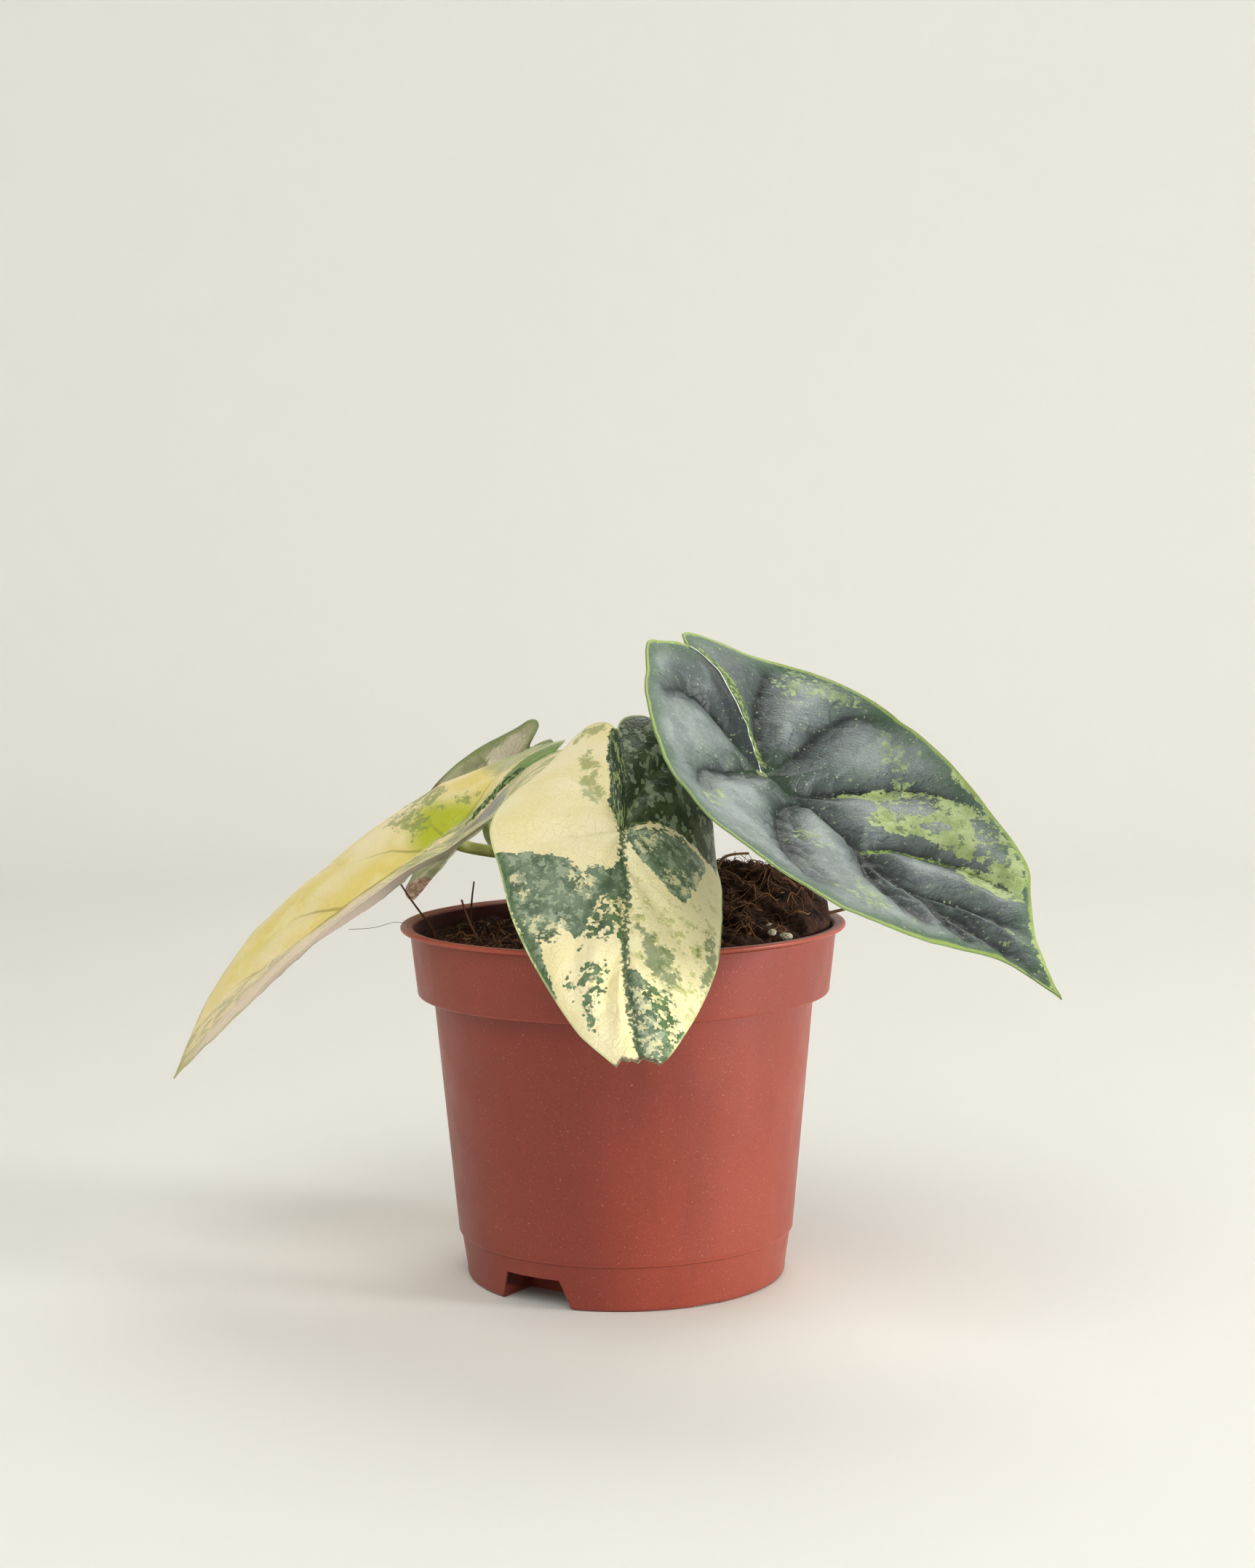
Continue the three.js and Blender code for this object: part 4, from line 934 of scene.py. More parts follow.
def cream_skin():
    """Cream blade, part of it dark green, with mottled patches."""
    look = Finish("cream_blade", 0.42)
    place = look.place("flat")
    vein, rim, net = look.field("vein"), look.field("rim"), look.field("net")
    broad = look.noise(place, 0.06, 3.0, 0.5)
    cream = look.tones(broad, 0.35, 0.65, "#f0e6bb", "#ecdfa6")
    cream = look.paint(cream, look.near(vein, 0.1, 0.9, 0.4), "#cfc583")
    cream = look.paint(cream, look.near(net, 0.05, 0.3, 0.25), "#cbbb7a")
    warm = look.ramp(look.field("warm"), -2.0, 3.0)
    smudge = look.noise(look.blocks(place, 0.7), 0.24, 5.0, 0.7)
    tint = look.tones(smudge, 0.52, 0.58, "#e9e0b0", "#c6c584")
    tint = look.paint(tint, look.ramp(smudge, 0.61, 0.67), "#81905a")
    cream = look.mix(warm, cream, tint)
    blur = look.flecked(look.field("blur"), place, 0.26, 0.55, 0.6, 0.05, 2.0)
    base = look.mix(look.times(blur, 0.8), cream, colour("#98a060"))
    smear = look.flecked(look.field("smear"), place, 0.3, 0.6, 0.6, 0.06, 2.5)
    base = look.paint(base, look.times(smear, 0.8), "#5d7548")
    shades = look.noise(place, 0.2, 4.0, 0.6)
    green = look.tones(shades, 0.35, 0.65, "#38502d", "#5f7a50")
    mottle = look.flecked(look.field("mottle"), place, 0.4, 0.53, 0.65, 0.03, 2.0)
    base = look.mix(mottle, base, green)
    deep = look.tones(shades, 0.38, 0.6, "#4b6145", "#6f8368")
    deep = look.paint(deep, look.scattered(place, 0.35, 0.53, 0.6, 0.6), "#a9b698")
    deep = look.mix(look.times(warm, 0.8), deep, green)
    deep = look.paint(deep, look.near(vein, 0.3, 3.0, 0.6), "#33502f")
    deep = look.paint(deep, look.near(rim, 0.8, 3.0, 0.7), "#3f6238")
    dark = look.ragged(look.field("dark"), place, 0.35, 1.5, 0.1)
    base = look.mix(dark, base, deep)
    pieces = look.flecked(look.field("fleck"), place, 0.42, 0.48, 0.5, 0.03, 1.6)
    base = look.paint(base, look.times(look.times(pieces, dark), 0.9), "#dad6a8")
    lobe = look.ragged(look.field("lobe"), place, 0.35, 1.0, 0.1)
    night = look.tones(look.noise(place, 0.15, 4.0, 0.6), 0.4, 0.6, "#26331c", "#465335")
    rays = look.noise(look.blocks(look.stretched(place, (0.9, 0.6, 1)), 0.7), 0.36, 3.0, 0.6)
    night = look.paint(night, look.ramp(rays, 0.53, 0.56, 0.0, 0.75), "#87957a")
    night = look.paint(night, look.near(vein, 0.15, 0.5, 0.6), "#7f8d57")
    base = look.mix(lobe, base, night)
    base = grained(look, base, place, "#4b5738", 0.12)
    uneven = look.ramp(look.noise(place, 0.8), 0.3, 0.7, -0.8, 0.8)
    spine = look.near(look.sum(look.field("spine"), uneven), 0.3, 1.0, 0.9)
    base = look.paint(base, spine, "#2a4a28")
    along = look.stretched(place, (1.8, 0.25, 1))
    speckled = look.mix(look.scattered(along, 0.7, 0.54, 0.4, 0.85), colour("#1f3019"), colour("#8b9d5a"))
    band = look.near(look.sum(look.field("seam"), uneven), 1.0, 2.4, 0.95)
    base = look.mix(band, base, speckled)
    pale = look.ramp(look.field("pale"), -1.0, 0.8, 0.0, 0.85)
    base = look.paint(base, pale, "#ddd9a4")
    green_line = look.times(look.ramp(look.field("pale"), -6.0, -3.0), look.near(rim, 0.2, 0.7, 0.8))
    border = look.near(rim, 0.25, 0.7, 0.6)
    base = look.paint(base, border, "#bcc98a")
    base = look.paint(base, green_line, "#6d8a47")
    base = look.paint(base, look.near(look.field("bitten"), 0.3, 1.1, 0.85), "#4a2f22")
    base = paler_below(look, base, "#c9cf9f", 0.6)
    gloss = look.ramp(look.noise(place, 0.5, 3.0, 0.6), 0.3, 0.7, 0.38, 0.5)
    return look.finish(base, gloss, skin_bump(look, place))


def yellow_skin():
    """Golden blade with a lime middle, green flecks and a dark green groove behind the stalk."""
    look = Finish("yellow_blade", 0.42)
    place = look.place("flat")
    vein, rim = look.field("vein"), look.field("rim")
    broad = look.noise(place, 0.07, 3.0, 0.5)
    gold = look.tones(broad, 0.35, 0.65, "#eddfb0", "#e6d593")
    gold = look.paint(gold, look.ramp(look.field("warm"), -6.0, 4.0, 0.0, 0.7), "#dfcc5c")
    clouds = look.ramp(look.noise(look.stretched(place, (1, 0.5, 1)), 0.12, 3.0, 0.5), 0.5, 0.66, 0.0, 0.5)
    gold = look.paint(gold, clouds, "#efe3b4")
    lime = look.ramp(look.field("lime"), -6.5, 3.0)
    base = look.mix(lime, gold, colour("#b3bb1e"))
    base = look.paint(base, look.near(vein, 0.1, 0.8, 0.65), "#8f8534")
    sides = look.noise(look.stretched(place, (1.3, 0.14, 1)), 0.8, 5.0, 0.65, 0.8)
    beyond = look.mix(look.ramp(sides, 0.45, 0.55, 0.0, 0.8), colour("#e6d8a8"), colour("#87945a"))
    uneven_edge = look.ramp(sides, 0.3, 0.7, -8.0, 8.0, "LINEAR")
    rosy = look.ramp(look.sum(look.field("pink"), uneven_edge), -9.0, 7.0, 0.0, 0.85)
    beyond = look.paint(beyond, rosy, "#e8d3bf")
    base = look.mix(look.ramp(look.field("far"), -0.5, 0.5), base, beyond)
    uneven = look.ramp(look.noise(place, 0.1), 0.3, 0.7, -1.0, 1.0)
    green_rim = look.near(look.sum(rim, uneven), 0.4, 1.6, 0.5)
    base = look.paint(base, green_rim, "#a8ad62")
    mottle = look.flecked(look.field("mottle"), place, 0.3, 0.56, 0.6, 0.07, 3.0)
    base = look.paint(base, look.times(mottle, 0.75), "#788848")
    lilac = look.ragged(look.field("lilac"), look.stretched(place, (1.3, 0.4, 1)), 0.3, 3.0, 1.6)
    streaked = look.tones(sides, 0.42, 0.58, "#5d6257", "#a1a1a8")
    base = look.mix(look.times(lilac, 0.8), base, streaked)
    olive = look.ragged(look.field("olive"), look.stretched(place, (1, 0.4, 1)), 0.3, 3.0, 1.5)
    faded = look.tones(sides, 0.4, 0.6, "#8d9a66", "#b5b785")
    base = look.mix(look.times(olive, 0.75), base, faded)
    band = look.ragged(look.field("band"), place, 0.4, 0.8, 0.4, 0.5)
    base = look.paint(base, look.times(band, 0.85), "#64853f")
    dark = look.ragged(look.field("dark"), place, 0.4, 1.0, 0.15, 0.6)
    deep = look.mix(look.scattered(place, 0.6, 0.52, 0.6, 0.9), colour("#233c1a"), colour("#7b9444"))
    base = look.mix(dark, base, deep)
    # Paler lower face, lifted almost to white: partly the blade's own paler underside, partly painted light
    # for light shining through the thin blade and up from the floor.
    below = look.tones(look.field("pink"), -8.0, 2.0, "#f3efc8", "#fbecd8")
    base = look.mix(look.times(look.field("under"), 0.92), base, below)
    gloss = look.ramp(look.noise(place, 0.5, 3.0, 0.6), 0.3, 0.7, 0.38, 0.5)
    return look.finish(base, gloss, skin_bump(look, place))


def grey_skin():
    """Small grey-green blade with pinkish patches, a brown nick and a dry brown tip."""
    look = Finish("grey_blade", 0.5)
    place = look.place("flat")
    vein, rim = look.field("vein"), look.field("rim")
    broad = look.noise(place, 0.16, 4.0, 0.6)
    base = look.tones(broad, 0.35, 0.65, "#8a9166", "#aeac88")
    base = look.paint(base, look.near(vein, 0.2, 1.6, 0.5), "#646d42")
    blush = look.ragged(look.field("blush"), look.stretched(place, (1.6, 0.5, 1)), 0.35, 3.0, 1.2)
    base = look.paint(base, look.times(look.times(blush, look.field("under")), 0.8), "#d6ccb4")
    base = grained(look, base, place, "#4f5a3f", 0.3)
    base = look.paint(base, look.near(rim, 0.4, 1.8, 0.6), "#6f8448")
    brown = look.ragged(look.field("brown"), place, 0.4, 1.6, 0.8)
    bark = look.tones(look.noise(place, 0.5), 0.35, 0.65, "#5f4430", "#a88c74")
    base = look.mix(brown, base, bark)
    return look.finish(base, None, skin_bump(look, place))


def stalk_skin(name, light, dark):
    look = Finish(name, 0.42)
    place = look.object_place()
    streaks = look.noise(look.stretched(place, (300, 300, 60)), 1.0, 4.0, 0.6)
    base = look.mix(look.ramp(streaks, 0.35, 0.65), colour(light), colour(dark))
    freckles = look.ramp(look.noise(place, 900, 3.0, 0.6), 0.58, 0.64, 0.0, 0.5)
    base = look.paint(base, freckles, "#4a5528")
    return look.finish(base, None, look.bump(streaks, 0.0002, 0.4))


def crown_skin():
    look = Finish("crown_bark", 0.7)
    place = look.object_place()
    bands = look.noise(look.stretched(place, (120, 120, 900)), 1.0, 4.0, 0.6)
    base = look.tones(bands, 0.35, 0.65, "#5c4a2e", "#8b8552")
    return look.finish(base, None, look.bump(bands, 0.0005, 0.6))


def plastic():
    """Moulded terracotta-coloured plastic with a satin skin, fine flow lines, dust and scuffs, painted
    highlights along its lip and ledges and painted shade on its inner wall.
    """
    look = Finish("terracotta_plastic", 0.36, 0.4)
    place = look.object_place()
    drift = look.noise(place, 18, 3.0, 0.5)
    base = look.tones(drift, 0.35, 0.65, "#863729", "#913e2e")
    grime = look.noise(look.stretched(place, (60, 60, 9)), 1.0, 5.0, 0.6)
    base = look.paint(base, look.ramp(grime, 0.5, 0.75, 0.0, 0.3), "#622c26")
    pits = look.ramp(look.noise(place, 1900, 2.0, 0.6), 0.55, 0.66, 0.0, 0.3)
    base = look.paint(base, pits, "#5a2620")
    dust = look.ramp(look.noise(place, 2100, 2.0, 0.6), 0.66, 0.71, 0.0, 0.3)
    base = look.paint(base, dust, "#d0a896")
    # Painted highlight: a lighter orange line along the lip and the two ledges.
    base = look.paint(base, look.ramp(look.field("edge"), 0.5, 1.0, 0.0, 0.4), "#b8543a")
    # Painted shade: the inner wall is darkened as the shade inside the pot, and made rougher.
    inside = look.field("inside")
    base = look.paint(base, look.times(inside, 0.92), "#36130f")
    gloss = look.ramp(look.noise(place, 90, 4.0, 0.6), 0.3, 0.7, 0.36, 0.46)
    gloss = look.sum(gloss, look.times(inside, 0.5))
    grain = look.bump(look.noise(place, 1500, 2.0, 0.5), 0.00004, 0.5)
    waves = look.bump(look.noise(look.stretched(place, (40, 40, 25)), 1.0, 2.0, 0.5), 0.0006, 0.35, grain)
    return look.finish(base, gloss, waves)


def peat():
    """Dark peat, and the coir fibres in it by their own tone."""
    look = Finish("peat_and_coir", 0.95, 0.2)
    place = look.object_place()
    crumbs = look.noise(place, 420, 5.0, 0.7)
    base = look.tones(crumbs, 0.35, 0.7, "#1a0f0a", "#472b1d")
    fibre = look.mix(look.field("tone"), colour("#26140d"), colour("#8e6647"))
    base = look.mix(look.field("fibre"), base, fibre)
    return look.finish(base, None, look.bump(crumbs, 0.0008, 0.8))


def perlite_skin():
    look = Finish("perlite_grain", 0.85, 0.3)
    place = look.object_place()
    pores = look.noise(place, 2500, 4.0, 0.7)
    base = look.tones(pores, 0.35, 0.6, "#756f57", "#d3ceb8")
    return look.finish(base, None, look.bump(pores, 0.0003, 0.8))


# Blades

def blade_axes(leaf):
    heading, dip, roll = (math.radians(leaf[key]) for key in ("heading", "dip", "roll"))
    along = np.array([math.cos(heading) * math.cos(dip), math.sin(heading) * math.cos(dip), -math.sin(dip)])
    level = np.array([math.cos(heading) * math.sin(dip), math.sin(heading) * math.sin(dip), math.cos(dip)])
    flat = np.cross(along, level)
    across = math.cos(roll) * flat + math.sin(roll) * level
    up = -math.sin(roll) * flat + math.cos(roll) * level
    return np.stack([across, along, up])


def midrib_turn(leaf, y):
    ahead = np.maximum(y, 0) / leaf["ahead"]
    behind = np.maximum(-y, 0) / leaf["behind"]
    hump = leaf["hump"] * np.sin(math.pi * np.minimum(behind, 1))
    bend = np.radians(leaf["arch"] * ahead + leaf["droop"] * ahead ** 2 + leaf["rise"] * behind + hump)
    sweep = np.radians(leaf["sweep"] * ahead - leaf["sweep_behind"] * behind)
    twist = np.radians(leaf["twist"] * ahead - leaf["twist_behind"] * behind)
    return bend, sweep, twist


def midrib_places(leaf, y):
    """Where the midrib is at each distance along the blade, in the blade's own frame."""
    low = -1.6 * leaf["behind"]
    samples = np.linspace(low, leaf["ahead"] + 1, 500)
    bend, sweep, _ = midrib_turn(leaf, samples)
    run = np.stack([np.sin(sweep) * np.cos(bend), np.cos(sweep) * np.cos(bend), -np.sin(bend)], axis=1)
    steps = (run[1:] + run[:-1]) / 2 * (samples[1] - samples[0])
    line = np.vstack([[0, 0, 0], np.cumsum(steps, axis=0)])
    start = np.array([np.interp(0, samples, line[:, k]) for k in range(3)])
    return np.stack([np.interp(y, samples, line[:, k]) for k in range(3)], axis=1) - start


def blade_places(leaf, x, y, height):
    """Places of blade points that stand some height above the blade's middle surface."""
    bend, sweep, twist = midrib_turn(leaf, y)
    flat = np.stack([np.cos(sweep), -np.sin(sweep), 0 * sweep], axis=1)
    normal = np.stack([np.sin(sweep) * np.sin(bend), np.cos(sweep) * np.sin(bend), np.cos(bend)], axis=1)
    across = np.cos(twist)[:, None] * flat + np.sin(twist)[:, None] * normal
    up = -np.sin(twist)[:, None] * flat + np.cos(twist)[:, None] * normal
    half = np.where(x > 0, 0, 1)
    ahead = np.maximum(y, 0) / leaf["ahead"]
    behind = np.maximum(-y, 0) / leaf["behind"]
    eased = (1 + FOLD_EASE) * behind ** 2 / (behind + FOLD_EASE)
    fold = np.take(leaf["fold"], half) + np.take(leaf["fold_ahead"], half) * ahead
    fold = fold + np.take(leaf["fold_behind"], half) * eased
    curl = np.take(leaf["curl"], half)
    widths = leaf["half_width"] * (1 + np.where(x > 0, -leaf["skew"], leaf["skew"]))
    reach = np.abs(x) / widths
    chord = np.radians(fold - curl * reach / 2)
    slope = np.radians(fold - curl * reach) * smoothstep(np.abs(x), 0, 1.5)
    out = x * np.cos(chord) - np.sign(x) * np.sin(slope) * height
    rise = np.abs(x) * np.sin(chord) + np.cos(slope) * height
    local = midrib_places(leaf, y) + across * out[:, None] + up * rise[:, None]
    return local @ blade_axes(leaf) + np.array(leaf["at"])


def half_outline(leaf, side, steps):
    """Points of one margin, evenly spaced from the notch at the rear to the tip."""
    margin = leaf["margins"][0 if side > 0 else 1]
    stations = ((0, -leaf["behind"] / leaf["ahead"]),) + margin + ((0, 1),)
    points = np.array(stations) * (leaf["half_width"], leaf["ahead"])
    return even_spacing(curve_through(points, 600), steps)


def bite_line(leaf, x):
    """The ragged line where a blade's tip is bitten off."""
    share, depth = leaf["bite"]
    notches = np.sin(x * 1.15 + 0.6) + 0.45 * np.sin(x * 2.4 + 1.1) + 0.15 * np.sin(x * 6.1)
    dent = 0.9 * np.exp(-((x - 0.5) / 2.2) ** 2)
    return share * leaf["ahead"] - depth * 0.45 + 0.38 * depth * notches - dent


def blade_sheet(leaf):
    """Flat points of a blade, their share of the way to the margin, and its faces."""
    rows, columns = leaf["rows"], leaf["columns"]
    edges = {side: half_outline(leaf, side, rows) for side in (1, -1)}
    length = leaf["ahead"] + leaf["behind"]
    places, reaches, grid = [], [], []
    for row in range(rows + 1):
        if row in (0, rows):
            grid.append([len(places)] * (2 * columns + 1))
            places.append((0, -leaf["behind"] if row == 0 else leaf["ahead"]))
            reaches.append(0)
            continue
        middle = -leaf["behind"] + length * (row / rows) ** ROW_CROWDING
        line = []
        for column in range(-columns, columns + 1):
            side = -1 if column < 0 else 1
            reach = abs(column) / columns
            edge = edges[side][row]
            line.append(len(places))
            places.append((side * edge[0] * reach, middle + (edge[1] - middle) * reach ** ROW_CURVE))
            reaches.append(reach)
        grid.append(line)
    faces = []
    for row in range(rows):
        for k in range(2 * columns):
            corners = (grid[row][k], grid[row][k + 1], grid[row + 1][k + 1], grid[row + 1][k])
            faces.append(tuple(dict.fromkeys(corners)))
    places = np.array(places, float)
    if "bite" in leaf:
        limit = bite_line(leaf, places[:, 0])
        beyond = places[:, 1] > limit
        faces = [face for face in faces if not all(beyond[list(face)])]
        places[:, 1] = np.minimum(places[:, 1], limit)
    used = sorted({corner for face in faces for corner in face})
    renumber = {old: new for new, old in enumerate(used)}
    faces = [tuple(renumber[corner] for corner in face) for face in faces]
    return places[used], np.array(reaches)[used], faces


def side_branches(leaf, veins, spacing=7.5, angle=52):
    """Short veins that branch from both sides of each main vein, by a seeded rule."""
    draw = random.Random(BRANCH_SEED)
    branches = []
    for vein in veins:
        lengths = np.linalg.norm(np.diff(vein, axis=0), axis=1)
        total = lengths.sum()
        along = np.concatenate([[0], np.cumsum(lengths)])
        stop = spacing * 0.7
        while stop < total * 0.92:
            point = np.array([np.interp(stop, along, vein[:, k]) for k in (0, 1)])
            k = min(int(np.searchsorted(along, stop)), len(vein) - 1)
            course = vein[k] - vein[k - 1]
            course = course / (np.linalg.norm(course) + 1e-9)
            for side in (-1, 1):
                turn = math.radians(side * (angle + draw.uniform(-8, 8)))
                reach = draw.uniform(5.5, 9.5)
                heading = np.array([
                    course[0] * math.cos(turn) - course[1] * math.sin(turn),
                    course[0] * math.sin(turn) + course[1] * math.cos(turn),
                ])
                bowed = heading * 0.75 + course * 0.45
                branches.append(np.array([point, point + heading * reach * 0.5, point + bowed * reach]))
            stop += spacing * draw.uniform(0.8, 1.25)
    return branches


def blade_fields(leaf, name, x, y):
    """Distances and patch depths at each flat point of a blade, in mm."""
    width, ahead = leaf["half_width"], leaf["ahead"]
    scale = np.array([width, ahead])
    scaled = lambda run, steps=24: curve_through(np.array(run) * scale, steps)
    midrib = scaled(leaf["midrib"])
    seam = scaled(leaf["seam"])
    veins = [scaled(run) for run in leaf["veins"]]
    spine, _ = distance_to_run(midrib, x, y)
    seam_away, _ = distance_to_run(seam, x, y)
    side = np.full(x.shape, FAR_AWAY)
    strength = np.zeros(x.shape)
    for vein in veins:
        away, share = distance_to_run(vein, x, y)
        side = np.minimum(side, away + VEIN_TAPER * share ** 2)
        sharp = np.exp((CREASE_EASE - np.hypot(away, CREASE_EASE)) / CREASE_LENGTH)
        broad = np.exp(-(away / CREASE_WIDTH * MODEL_HALF_WIDTH / width) ** 2)
        crease = BROAD_SHARE * broad + (1 - BROAD_SHARE) * sharp
        strength = np.maximum(strength, crease * (1 - 0.45 * share ** 3))
    net = np.full(x.shape, FAR_AWAY)
    for branch in side_branches(leaf, veins + [midrib]):
        net = np.minimum(net, distance_to_run(branch, x, y)[0])
    outline = np.vstack([half_outline(leaf, 1, 160), half_outline(leaf, -1, 160)[::-1] * (-1, 1)])
    rim, _ = distance_to_run(outline, x, y)
    fields = {
        "vein": np.minimum(np.minimum(side, spine), seam_away + 0.8),
        "spine": spine, "seam": seam_away, "net": net, "rim": rim, "relief": strength,
        "side": side, "hub": np.hypot(x, y),
    }
    for label, rings in PATCHES[name].items():
        smooth = [curve_through(np.array(ring) * scale, 8 * len(ring), closed=True) for ring in rings]
        fields[label] = depth_in_rings(smooth, x, y)
    if "bite" in leaf:
        fields["bitten"] = bite_line(leaf, x) - y + 0.5 * np.abs(np.sin(x * 0.9 + 0.4)) - 0.2
    return fields


def blade_relief(leaf, fields, x, y, reach):
    """Height of the quilted panels over the sunken veins, with fine puckers between side branches."""
    width = leaf["half_width"]
    spine_reach = SPINE_VALLEY * width / MODEL_HALF_WIDTH
    spine_valley = np.exp(-((fields["spine"] / spine_reach) ** 2)) * (y > -2)
    valley = np.maximum(spine_valley, fields["relief"])
    tip_fade = np.clip((leaf["ahead"] - y) / (0.25 * leaf["ahead"]), 0, 1)
    rear_fade = np.clip((y + leaf["behind"]) / 12 + 0.3, 0, 1)
    panels = leaf["quilt"] * (0.5 - valley) * (1 - reach ** 3) * tip_fade * rear_fade
    puckers = -bell(fields["net"], PUCKER_DEPTH * leaf["quilt"], PUCKER_WIDTH) * (1 - reach ** 4)
    ridge = bell(fields["seam"], *SEAM_RIDGE) - bell(fields["seam"], *SEAM_TROUGH)
    crinkle = np.array([noise.noise(Vector((a * 0.22, b * 0.22, leaf["quilt"]))) for a, b in zip(x, y)])
    edge_wave = np.array([noise.noise(Vector((a * 0.07, b * 0.07, 9.0))) for a, b in zip(x, y)])
    fine = CRINKLE_HEIGHT * crinkle + EDGE_WAVE_HEIGHT * edge_wave * reach ** 5
    return panels + puckers + ridge + fine


def make_blade(name, material):
    leaf = LEAVES[name]
    flat, reach, faces = blade_sheet(leaf)
    x, y = flat[:, 0], flat[:, 1]
    fields = blade_fields(leaf, name, x, y)
    height = blade_relief(leaf, fields, x, y, reach)
    thickness = MARGIN_THICKNESS + (BLADE_THICKNESS - MARGIN_THICKNESS) * smoothstep(fields["rim"], 0, 2.5)
    fade = smoothstep(fields["rim"], 0, 4.0) * np.clip(1.1 - y / leaf["ahead"], 0.2, 1)
    ribs = np.maximum(
        bell(fields["spine"], *MIDRIB_RIB) * (y > -3),
        bell(fields["side"], *SIDE_RIB),
    ) * fade
    upper = blade_places(leaf, x, y, height + thickness / 2)
    lower = blade_places(leaf, x, y, height - thickness / 2 - ribs)
    count = len(flat)
    edges = {}
    for face in faces:
        for a, b in zip(face, face[1:] + face[:1]):
            key = (min(a, b), max(a, b))
            edges[key] = None if key in edges else (a, b)
    rims = [(b, a, a + count, b + count) for a, b in filter(None, edges.values())]
    below = [tuple(corner + count for corner in reversed(face)) for face in faces]
    both = {label: np.tile(values, 2) for label, values in fields.items() if label not in ("relief", "side")}
    both["under"] = np.repeat([0.0, 1.0], count)
    place = np.column_stack([np.tile(x, 2), np.tile(y, 2), np.repeat([0.0, UNDERSIDE_OFFSET], count)])
    piece = make_mesh(
        name + "_blade", np.vstack([upper, lower]), faces + below + rims, both, {"flat": place}, 60,
    )
    dress(piece, material, leaf["slot"], name)


# Stalks and crown

def stalk_line(name):
    leaf_name, points, depths, foot, head = STALKS[name]
    leaf = LEAVES[leaf_name]
    up = blade_axes(leaf)[2]
    ends = [tuple(np.array(leaf["at"]) - up * depth) for depth in depths]
    return curve_through(points + tuple(ends), 90), foot, head


def make_stalk(name, material):
    line, foot, head = stalk_line(name)
    line = even_spacing(line, 80)
    share = np.linspace(0, 1, len(line))
    swelling = 1 + 0.16 * np.exp(-((share - 0.95) / 0.05) ** 2) + 0.1 * np.exp(-(share / 0.12) ** 2)
    places, faces = tube(line, (foot + (head - foot) * share) * swelling, 20)
    piece = make_mesh(name + "_stalk", places, faces)
    dress(piece, material, "stalk", name)


def make_crown(material):
    """Leaf-scarred crown, with the torn rims of old sheaths round it."""
    profile = even_spacing(curve_through(CORM_PROFILE, 200), 70)
    segments = 72
    places = []
    for radius, z in profile:
        for k in range(segments):
            angle = 2 * math.pi * k / segments
            place = Vector((math.cos(angle) * 2, math.sin(angle) * 2, z * 0.3))
            rings = 0.22 * math.sin(z * 2.4) + 0.25 * noise.noise(place)
            r = max(radius + rings * min(1, radius / 3), 0.02)
            places.append((CORM_CENTRE[0] + r * math.cos(angle), CORM_CENTRE[1] + r * math.sin(angle), z))
    piece = make_mesh("crown", places, capped_rings(len(profile), segments))
    dress(piece, material, "crown", "corm")


# Pot

def wall_radius(z):
    if z < FOOT_STEP_Z:
        return BASE_RADIUS + (FOOT_STEP_RADIUS - FOOT_STEP_DEPTH - BASE_RADIUS) * z / FOOT_STEP_Z
    share = (z - FOOT_STEP_Z) / (COLLAR_FOOT_Z - FOOT_STEP_Z)
    return FOOT_STEP_RADIUS + (BODY_TOP_RADIUS - FOOT_STEP_RADIUS) * share


def collar_radius(z):
    share = (z - COLLAR_FOOT_Z) / (POT_HEIGHT - COLLAR_FOOT_Z)
    return COLLAR_FOOT_RADIUS + (COLLAR_TOP_RADIUS - COLLAR_FOOT_RADIUS) * share


def arc(centre, radius, start, end, steps=5):
    """Points on an arc in the profile's plane, between two angles in degrees."""
    angles = np.radians(np.linspace(start, end, steps))
    return [(centre[0] + radius * math.cos(a), centre[1] + radius * math.sin(a)) for a in angles]


def straight(start, end, steps):
    return [tuple(p) for p in np.linspace(start, end, steps + 1)]


